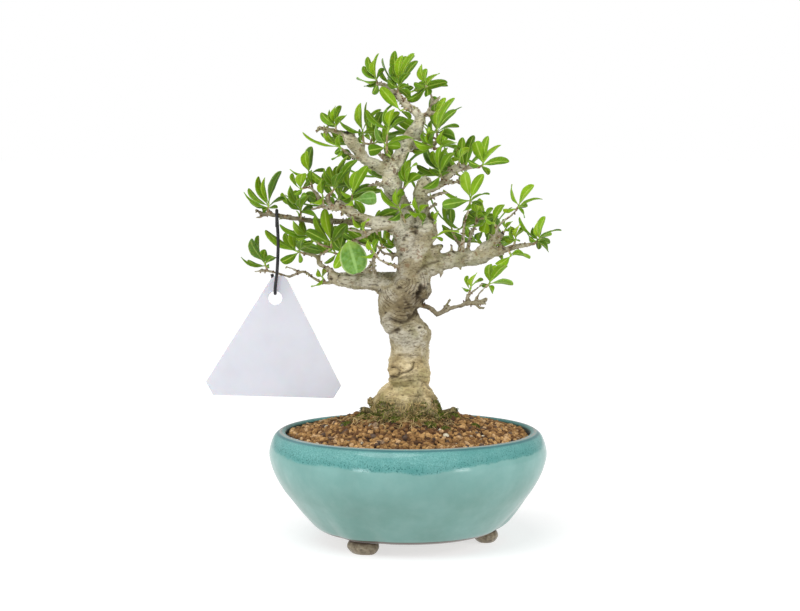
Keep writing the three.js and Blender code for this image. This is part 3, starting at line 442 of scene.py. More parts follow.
# %% Copies of solids and the skin
def merged_copy(node):
    """A solid's mesh with its loose triangles joined."""
    bm = bmesh.new()
    bm.from_mesh(frame["nodes"][node].data)
    bmesh.ops.remove_doubles(bm, verts=bm.verts, dist=1e-6)
    return bm


def voxel_skin(bm, size):
    """One closed skin of small squares round everything in the bmesh."""
    mesh = bpy.data.meshes.new("rough")
    bm.to_mesh(mesh)
    bm.free()
    rough = bpy.data.objects.new("rough", mesh)
    scene.collection.objects.link(rough)
    skin = rough.modifiers.new("skin", "REMESH")
    skin.mode = "VOXEL"
    skin.voxel_size = size
    skinned = bmesh.new()
    skinned.from_object(rough, bpy.context.evaluated_depsgraph_get())
    bpy.data.objects.remove(rough)
    bpy.data.meshes.remove(mesh)
    return skinned


print("wood solid:", len(frame["nodes"]["tree_wood"].data.polygons), "triangles")

# %% [markdown]
# Twigs get short stubs and small buds, thrown at random on the faces above the trunk's bend. The foot
# gets a few roots that run out over the grit. All of them only have to touch the wood, since the remesh
# melts them into it.

# %% Buds, stubs and surface roots
TWIG_BUDS = 280
TWIG_STUBS = 50
TWIG_FOOT = 142
BUD_RADII = (0.9, 1.6)
STUB_LENGTHS = (2.5, 5)
VOXEL = 0.7 * MM
FOOT_ROOTS = [
    ([(-15, 84, 1), (-20, 86.5, 1), (-24, 88.4, 1)], 2.2, 2.5),
    ([(-17, 79, -1), (-23, 81.5, -2), (-28.5, 83.5, -3)], 2.4, 1.8),
    ([(-16, 78, 4), (-23, 78.5, 5), (-29, 77, 6)], 2.6, 1.6),
    ([(16, 79, 0), (23, 81, 0), (29.5, 82.6, 0)], 2.4, 2.1),
    ([(15, 78, 6), (21, 78.5, 8), (27, 77, 9)], 2.4, 1.6),
    ([(10, 80, -12), (14, 81, -18), (19, 77, -23)], 2.6, 1.6),
    ([(-8, 80, -13), (-12, 80, -20), (-15, 76.5, -26)], 2.6, 1.6),
]


def shake(source, most):
    """A small random vector from a source of random numbers."""
    return Vector([source.uniform(-most, most) for _ in range(3)])


chance = random.Random(7)
wood = merged_copy("tree_wood")
twig_faces = [face for face in wood.faces if reading(face.calc_center_median())[1] > TWIG_FOOT]
weights = [face.calc_area() for face in twig_faces]
homes = [(face.calc_center_median(), face.normal.copy())
         for face in chance.choices(twig_faces, weights, k=TWIG_BUDS + TWIG_STUBS)]
for spot, outwards in homes[:TWIG_BUDS]:
    size = chance.uniform(*BUD_RADII) * MM
    sunk = Matrix.Translation(spot - 0.3 * size * outwards)
    bmesh.ops.create_icosphere(wood, subdivisions=1, radius=size, matrix=sunk)
for spot, outwards in homes[TWIG_BUDS:]:
    length = chance.uniform(*STUB_LENGTHS) * MM
    tilted = (outwards + shake(chance, 0.5)).normalized()
    upright = tilted.to_track_quat("Z", "Y").to_matrix().to_4x4()
    bmesh.ops.create_cone(wood, cap_ends=True, segments=6, radius1=1.2 * MM, radius2=0.7 * MM, depth=length,
                          matrix=Matrix.Translation(spot + tilted * length * 0.4) @ upright)
for line, thick, thin in FOOT_ROOTS:
    places = smooth_line([place(*spot) for spot in line], 4)
    slim = [(thick + (thin - thick) * step / (len(places) - 1)) * MM for step in range(len(places))]
    tube(wood, places, slim[:-1] + [slim[-1] * 0.5], 12)
wood = voxel_skin(wood, VOXEL)
print("wood skin:", len(wood.faces), "faces")

# %% [markdown]
# What is carved is drawn in the front view, in millimetres across and up. A crease is a line with a width
# and a depth, a knot is a ring round a small bump, and a cavity is a pit with a ragged edge. Cut ends and
# patches of painted shade on the trunk only change the colour, so they are places with a size.

# %% Drawn creases, knots and patches of painted shade
CREASES = [
    ([(-11, 137.6), (-5.8, 135.6), (-1, 136.2), (3.4, 139.9), (5.6, 143)], 1, 1.8),
    ([(-12.9, 106), (-11, 102.5), (-6.7, 102.2), (-3.3, 104.8), (-0.1, 105.6), (3.1, 108.2), (3.5, 111.2)],
     0.6, 1.4),
    ([(-11, 109), (-7, 109), (-4.6, 106.8), (-5.8, 104)], 0.5, 1),
    ([(-12, 103), (-8.6, 100.8), (-2.1, 101.8), (6.3, 102.3), (11.7, 102)], 0.55, 0.8),
    ([(6.3, 100.7), (10.1, 98.8), (12.6, 96.4)], 0.8, 1),
    ([(-5.5, 115.5), (1, 115.2), (7, 115.6), (13, 112)], 0.6, 0.7),
    ([(-12, 110.5), (-5, 113.6), (3, 113.6), (9, 111.5), (13, 107)], 0.6, 0.6),
    ([(-16, 126), (-11, 128.5), (-6, 131.5)], 0.8, 0.9),
    ([(-2, 149), (2, 143), (5, 147), (8, 158)], 0.8, 0.9),
    ([(4.2, 156.6), (2.4, 149.4), (-1.8, 143.4), (-7.8, 141)], 0.45, 0.6),
    ([(1, 154), (-0.5, 148.5), (-4, 145), (-9.5, 144)], 0.45, 0.5),
    ([(-2.5, 151.5), (-4, 148.5), (-8, 147.3), (-12, 148.5)], 0.45, 0.45),
    ([(-8, 147), (-3, 143), (1, 139.5)], 0.7, 0.6),
    ([(-13, 96.5), (-5, 97.4), (3, 96.2), (9, 97)], 0.6, 0.5),
    ([(-3, 92), (3, 90.8), (9, 91.5)], 0.6, 0.6),
    ([(-15, 88), (-12, 82), (-13, 78)], 1.3, 0.4),
    ([(-3, 84), (-4, 81), (-3, 77)], 1.2, 0.35),
    ([(6, 86), (8, 82), (8, 77)], 1.2, 0.4),
    ([(15, 93), (15.5, 86), (17, 79)], 1.2, 0.8),
    ([(6, 166), (11, 170), (18, 172.5)], 0.8, 1.1),
    ([(-14, 153), (-20, 155), (-26, 156.5)], 0.7, 0.7),
    ([(1, 178), (4, 184), (4.6, 189)], 1.0, 0.6),
    ([(-1, 222), (-6, 230), (-3, 238)], 0.7, 0.7),
]
KNOTS = [(-3.4, 158.2, 3.6), (-30, 159.6, 2.2), (-9, 105.8, 3.3), (-14.5, 137.5, 1.8), (11, 219, 2.6),
         (4, 230, 2.2), (2, 249, 2.4), (34, 174, 2)]
CAVITIES = [(4.6, 190.5, 1.3, 2.2, 1.5), (-1, 187.5, 1, 0.8, 0.8), (-4.5, 176, 1.2, 0.8, 0.8),
            (6.4, 151.5, 1.5, 2.6, 2.4), (8, 156.4, 1.3, 1.8, 1.9), (12, 222, 1.4, 1.4, 2),
            (-7, 130.3, 1.7, 0.9, 0.8), (9.5, 148.5, 1.6, 1.6, 1.4), (10, 156, 1.6, 1, 1),
            (13, 152, 1, 1.6, 1), (12, 158.5, 1, 0.8, 0.8), (-17.5, 136.6, 1.2, 1.2, 0.8)]
CUT_ENDS = [(-36, 249, -3, 4.2), (-43.8, 207.6, -14, 2.2), (56.5, 189.5, -5.5, 2), (-24.3, 88.6, 1, 2.2),
            (20.5, 181.5, 0, 1.6), (-47, 164, 2, 2.2), (-28.9, 83.6, -3, 2.2), (30, 82.7, 0, 2.4)]
PAINTED_SHADE_PATCHES = [(-3, 145, 13, 11, 0.9), (-1, 166, 14, 9, 0.35), (8, 153, 5, 7, 0.5), (-3, 106, 8, 3.5, 0.3)]
print("drawn:", len(CREASES), "creases,", len(KNOTS), "knots,", len(CAVITIES), "cavities")

# %% [markdown]
# One function adds up how deep all of them cut at a spot, and how much painted shade the cut gets. A
# crease has soft sides and a low lip along them, as where bark swells beside a fold.

# %% Carving helpers
def far_from(line, across, up):
    """The distance from a spot to a line, in the front view."""
    spot = Vector((across, up, 0))
    best = 99
    for (x0, z0), (x1, z1) in zip(line, line[1:]):
        start, end = Vector((x0, z0, 0)), Vector((x1, z1, 0))
        nearest, share = intersect_point_line(spot, start, end)
        nearest = start.lerp(end, min(max(share, 0), 1))
        best = min(best, (spot - nearest).length)
    return best


def crease_cut(across, up):
    """The depth of all creases at a spot, and the painted shade in them."""
    depth = 0
    painted_dark = 0
    for line, width, deep in CREASES:
        if min(z for _, z in line) - 4 < up < max(z for _, z in line) + 4:
            far = far_from(line, across, up)
            cut = math.exp(-(far / width) ** 2)
            lip = math.exp(-((far - 2.6 * width) / width) ** 2)
            depth += deep * (cut - 0.18 * lip)
            painted_dark += cut * min(1, 0.45 * deep)
    return depth, painted_dark


def carving(across, up):
    """How deep the front is carved at a spot, and how much shade is painted there."""
    depth, painted_dark = crease_cut(across, up)
    for x, z, radius in KNOTS:
        uneven = 1 + 0.3 * noise.noise(Vector((across, up, x)) / radius)
        far = math.hypot(across - x, up - z) / radius * uneven
        if far < 2.2:
            ring = math.exp(-((far - 1) / 0.28) ** 2)
            depth += 0.28 * radius * (0.8 * ring - math.exp(-(far / 0.75) ** 2))
            painted_dark += 0.3 * ring
    for x, z, wide, high, deep in CAVITIES:
        ragged = 1 + 0.5 * noise.noise(Vector((across, up, z)) / 1.4)
        far = math.hypot((across - x) / wide, (up - z) / high) * ragged
        if far < 2:
            pit = math.exp(-far ** 3)
            depth += deep * pit
            painted_dark += pit
    return depth, painted_dark


def float_layers(bm, *names):
    """New attributes on the corners of a bmesh, for the finish to read."""
    return [bm.verts.layers.float.new(name) for name in names]


print("deepest crease in the middle:", round(carving(-1, 136.2)[0], 2), "mm")

# %% [markdown]
# Now every vertex moves along its normal. Where the wood is thin, the same lumps would eat it through, so
# a ray through each vertex first measures how thick the wood is there. What the carving learns on its
# way stays on the mesh as attributes: how much painted shade its hollows get, how thick the wood is, and
# where patches of painted shade darken the trunk.

# %% Carve the skin
THICKEST = 60
CARVED_FRONT = 40
SMOOTH_ROUNDS = 6
SWELL = 0.1
PIT_DEPTHS = [(128, 2.8), (108, 0.5), (-math.inf, 1.6)]


def lump(spot, size, height):
    """Noise with lumps of about this size and height."""
    return noise.noise(spot / size) * height


for _ in range(SMOOTH_ROUNDS):
    bmesh.ops.smooth_vert(wood, verts=wood.verts, factor=0.5, use_axis_x=True, use_axis_y=True,
                          use_axis_z=True)
wood.normal_update()
tree = BVHTree.FromBMesh(wood)
painted_hollow_shade, girth, wound, painted_trunk_shade = float_layers(wood, "painted_hollow_shade", "girth", "wound", "painted_trunk_shade")
moves = []
for vert in wood.verts:
    inside = vert.co - vert.normal * 0.02 * MM
    through = tree.ray_cast(inside, -vert.normal, THICKEST * MM)[3]
    thick = (through or THICKEST * MM) / MM
    across, up = reading(vert.co)
    spot = vert.co / MM
    warp_across = noise.noise(spot / 5 + Vector((9, 0, 0)))
    warp_up = noise.noise(spot / 5 + Vector((0, 9, 0)))
    warp = Vector((warp_across, warp_up, 0)) * 1.2
    lumps = lump(spot, 8.5, 1.1) * min(1, thick / 14) + lump(spot, 3.4, 0.5) * min(1, thick / 5)
    flow = Vector((spot.x / 5, spot.y / 5, spot.z / 1.35 + warp.x * 1.6)) if thick > 9 else spot / 2
    wrinkle = (0.25 - abs(noise.noise(flow + warp))) * 0.9 * min(1, thick / 9)
    grain = lump(spot, 1.2, 0.22)
    squeezed = Vector((spot.x / 2.4, spot.y / 2.4, spot.z / 1.5 + 40)) + warp
    pit = max(0, noise.noise(squeezed) - 0.4) * next(deep for above, deep in PIT_DEPTHS if up > above)
    depth, painted_dark = carving(across, up) if vert.normal.y < 0.15 and abs(across) < CARVED_FRONT else (0, 0)
    facing = min(1, max(0, 0.5 - 1.6 * vert.normal.y))
    moves.append(vert.normal * (lumps + wrinkle + grain + SWELL - 0.6 * pit - depth * facing) * MM)
    dips = max(0, -0.3 * lumps - 0.9 * wrinkle - 1.6 * grain) * 0.8
    # Painted shade: creases, knots, cavities, pits and the dips between lumps get a darker colour.
    vert[painted_hollow_shade] = min(1, painted_dark * facing + 1.5 * pit + dips)
    vert[girth] = thick
    # Painted shade: patches on the trunk where the foliage shades it.
    vert[painted_trunk_shade] = sum(share * math.exp(-((across - x) / wide) ** 2 - ((up - z) / high) ** 2)
                      for x, z, wide, high, share in PAINTED_SHADE_PATCHES)
    cuts = [1 - (vert.co - place(x, z, y)).length / (size * MM) for x, z, y, size in CUT_ENDS]
    vert[wound] = max(0, *cuts)
for vert, move in zip(wood.verts, moves):
    vert.co += move
print("carved", len(moves), "vertices, thickest", round(max(vert[girth] for vert in wood.verts), 1), "mm")

# %% [markdown]
# The bark's colour has layers: pale grey on the upper trunk, with painted light that makes the upper limbs
# paler still where the sun reaches, warm tan below, and darker, browner bark on thin twigs, with painted
# shade on the low twigs and on the long branch at the left, which the leaves shade. Each layer is one mask
# over the last, and the attributes that the carving left behind tell where wood is thin or cut, and where
# it has painted shade.

# %% Bark colours
bark = start_finish("bark", 0.75)
axis = axes(bark)
patches = cloud(bark, 95, detail=4)
pale = ramp(bark, patches, (0.3, 128, 118, 88), (0.46, 168, 158, 128), (0.58, 200, 194, 174),
            (0.7, 178, 172, 150), (0.82, 140, 128, 96))
# Painted light: a paler copy of the bark for the upper limbs, where the sun reaches.
painted_sunlight = ramp(bark, patches, (0.3, 180, 168, 134), (0.46, 220, 210, 178), (0.58, 240, 234, 212),
             (0.7, 224, 216, 190), (0.82, 188, 174, 138))
pale = mix(bark, grey(bark, axis["Z"], 0.178, 0.212), pale, painted_sunlight)
tan = ramp(bark, patches, (0.3, 160, 138, 94), (0.5, 204, 184, 138), (0.62, 222, 204, 162),
           (0.8, 186, 168, 128))
low_share = grey(bark, axis["Z"], 0.121, 0.103)
bark_shade = mix(bark, low_share, pale, tan)
thin_share = grey(bark, attribute(bark, "girth"), 7.5, 2.6)
twig = ramp(bark, cloud(bark, 330, detail=4), (0.32, 96, 80, 60), (0.43, 152, 140, 114),
            (0.58, 196, 188, 164), (0.74, 138, 122, 96))
bark_shade = paint(bark, bark_shade, thin_share, 0.9, twig)
# Painted shade on thin twigs: the low ones and the long branch at the left, which the leaves shade.
branch_height = times(bark, grey(bark, axis["Z"], 0.172, 0.182), grey(bark, axis["Z"], 0.216, 0.206))
long_branch = times(bark, grey(bark, axis["X"], -0.026, -0.04), branch_height)
twig_painted_shade = sums(bark, "MAXIMUM", long_branch, grey(bark, axis["Z"], 0.156, 0.142))
bark_shade = paint(bark, bark_shade, times(bark, thin_share, twig_painted_shade), 0.6, colour(98, 90, 66))
print("bark colours:", len(bark.node_tree.nodes), "nodes")

# %% [markdown]
# Over the colours lie the marks: a greenish film of algae, brown scars on the upper trunk, short dark
# pores and streaks that run across the stem, and matted fibres at the foot, where bark turns into root.
# Around the burl, painted shade darkens the bark in a swirl of its own.

# %% Film, scars, pores and fibres
bark_shade = paint(bark, bark_shade, grey(bark, cloud(bark, 60, detail=5), 0.48, 0.66), 0.6,
                   colour(132, 128, 78))
scars = times(bark, grey(bark, cloud(bark, 210, 4, 0.65), 0.57, 0.67), grey(bark, axis["Z"], 0.13, 0.18))
bark_shade = paint(bark, bark_shade, scars, 0.8, colour(124, 86, 58))
pores = add(bark, "TexVoronoi", Scale=1, Randomness=1)
link(bark, spots(bark, (380, 380, 1150)), pores.inputs["Vector"])
in_patches = grey(bark, cloud(bark, 300), 0.44, 0.54)
pore_share = times(bark, grey(bark, pores.outputs["Distance"], 0.38, 0.16), in_patches)
bark_shade = paint(bark, bark_shade, pore_share, 0.75, colour(78, 60, 40))
streaks = cloud(bark, 1, 5, 0.7, stretch=(260, 260, 900))
bark_shade = paint(bark, bark_shade, grey(bark, streaks, 0.5, 0.34), 0.55, colour(112, 96, 66))
ragged_height = plus(bark, axis["Z"], times(bark, cloud(bark, 160), 0.016))
fibres = ramp(bark, cloud(bark, 1, 4, 0.7, stretch=(900, 900, 350)), (0.36, 44, 38, 16), (0.5, 100, 88, 48),
              (0.62, 158, 142, 92))
bark_shade = paint(bark, bark_shade, grey(bark, ragged_height, 0.101, 0.09), 0.85, fibres)
# Painted shade: a swirl of darker bark where the trunk is shaded.
shade_swirl = times(bark, attribute(bark, "painted_trunk_shade"), grey(bark, cloud(bark, 240, 5, 0.7), 0.28, 0.5))
bark_shade = mix(bark, shade_swirl, bark_shade, colour(106, 92, 62))
print("with its marks:", len(bark.node_tree.nodes), "nodes")

# %% [markdown]
# Old bark on a burl has growth lines: rings that curl round the knot, and lower down bands that run round
# the stem. A wave texture draws both, thin and broken, and strongest where the trunk has painted shade.
# Last come the painted shade in the hollows that the carving cut, and the cut ends. Pores and growth
# lines are pressed in, and the grain is fine relief below them.

# %% Growth lines, painted shade in hollows, and relief
BURL = place(-3.4, 159, -14)


def growth_lines(shape, scale, distortion, centre=(0, 0, 0)):
    """Thin dark lines: bands run round the stem, rings curl round a knot."""
    wave = add(bark, "TexWave", wave_type=shape, bands_direction="Z", rings_direction="SPHERICAL",
               Scale=scale, Distortion=distortion, Detail=3, Detail_Scale=0.35, Detail_Roughness=0.65)
    link(bark, spots(bark, (1, 1, 1), [-value for value in centre]), wave.inputs["Vector"])
    return grey(bark, wave.outputs["Fac"], 0.28, 0.08)


curls = growth_lines("RINGS", 165, 11, BURL)
lines = mix(bark, low_share, curls, growth_lines("BANDS", 110, 9))
thick_share = grey(bark, attribute(bark, "girth"), 5, 12)
broken = times(bark, grey(bark, cloud(bark, 170, 4, 0.65), 0.42, 0.6), thick_share)
in_painted_shade = plus(bark, times(bark, attribute(bark, "painted_trunk_shade"), 1.3), 0.2)
line_share = times(bark, times(bark, lines, broken), in_painted_shade)
bark_shade = mix(bark, sums(bark, "MINIMUM", line_share, 0.9), bark_shade, colour(74, 58, 38))
# Painted shade in the hollows, creases and pits.
bark_shade = paint(bark, bark_shade, attribute(bark, "painted_hollow_shade"), 0.92, colour(62, 50, 34))
bark_shade = mix(bark, grey(bark, attribute(bark, "wound"), 0.1, 0.35), bark_shade, colour(60, 50, 42))
fine = bump(bark, plus(bark, cloud(bark, 900, detail=4), streaks), 0.7, 0.0007)
dress(bark, bark_shade, bump(bark, plus(bark, pore_share, line_share), -0.6, 0.0004, under=fine))
tree_wood = finish_piece("tree_wood_carved", wood, bark, ["tree_wood"])
print(tree_wood.name, len(tree_wood.data.polygons), "faces")

# %% [markdown]
# Resting buds sit in pairs all along the twigs. They are finer than the squares of the skin, so they stay
# outside of it: small pointed scales that are pressed on afterwards. One scale is made once, and copies
# of it go to all their places in one bmesh. A drawn number on each copy gives it its own shade.

# %% Copies of one small shape
def stamp(name, bm):
    """A small mesh that is copied many times."""
    mesh = bpy.data.meshes.new(name)
    bm.to_mesh(mesh)
    bm.free()
    return mesh


def copies(mesh, homes):
    """One bmesh with a copy at each home: a place, a shape in millimetres, a shade and perhaps dents."""
    bm = bmesh.new()
    for _ in homes:
        bm.from_mesh(mesh)
    kind = float_layers(bm, "kind")[0]
    for index, vert in enumerate(bm.verts):
        spot, shape, shade, *dents = homes[index // len(mesh.vertices)]
        for seed in dents:
            vert.co *= 1 + 0.35 * noise.noise(vert.co * 1.9 + seed)
        vert[kind] = shade
        vert.co = spot + shape @ vert.co * MM
    return bm


scale_bud = bmesh.new()
bmesh.ops.create_icosphere(scale_bud, subdivisions=1, radius=1)
bud_mesh = stamp("bud", scale_bud)
print("one bud:", len(bud_mesh.polygons), "faces")

# %% Resting buds
BUDS = 620
BUD_FOOT = 0.14
BUD_GIRTH = 5.5
chance = random.Random(23)
twig_skin = [face for face in tree_wood.data.polygons if face.center.z > BUD_FOOT
             and tree_wood.data.attributes["girth"].data[face.vertices[0]].value < BUD_GIRTH]
homes = []
for face in chance.choices(twig_skin, [face.area for face in twig_skin], k=BUDS):
    lean = (face.normal + 0.8 * shake(chance, 1)).normalized()
    shape = lean.to_track_quat("Z", "Y").to_matrix() @ Matrix.Diagonal([0.5, 0.5, chance.uniform(0.7, 1.3)])
    homes.append((face.center + face.normal * 0.2 * MM, shape, chance.random()))
bud_brown = start_finish("bud_brown", 0.8)
bud_shade = ramp(bud_brown, attribute(bud_brown, "kind"), (0.0, 70, 50, 34), (0.4, 124, 92, 62),
                 (0.7, 164, 140, 104), (0.9, 130, 140, 60))
bud_shade = mix(bud_brown, grey(bud_brown, cloud(bud_brown, 800), 0.45, 0.7), bud_shade, colour(88, 66, 46))
dress(bud_brown, bud_shade, bump(bud_brown, cloud(bud_brown, 1500), 0.4, 0.0003))
finish_piece("resting_buds", copies(bud_mesh, homes), bud_brown)
print("buds:", BUDS)

# %% [markdown]
# ## The leafy sprays
#
# Privet leaves stand in opposite pairs on green shoots: short-stalked, folded a little along the midrib,
# arched, and blunt at the tip. In the solids a leaf is a folded blade of twelve triangles. Here the same
# list of tufts makes the same leaves again, with finer blades.
#
# A tuft sits at the end of its shoot. Its drawn leaves have the places of their tips and the width that
# they show to the front. Tufts that the front hides only have a number of leaves, which stand in crossed
# pairs.

# %% The list of sprays
def drawn(at, *leaves, via=()):
    """A tuft whose leaves are seen: the place of each tip across and up, and the width that shows."""
    return dict(at=at, leaves=leaves, count=len(leaves), via=via)


def hidden(*at):
    """A tuft that the front hides, with four leaves."""
    return dict(at=at, count=4, via=())


def spray_from(start, tufts, fork=None):
    """A spray that springs from a twig. With several tufts, its shoots part at the fork."""
    return dict(start=start, tufts=tufts, fork=fork or start)


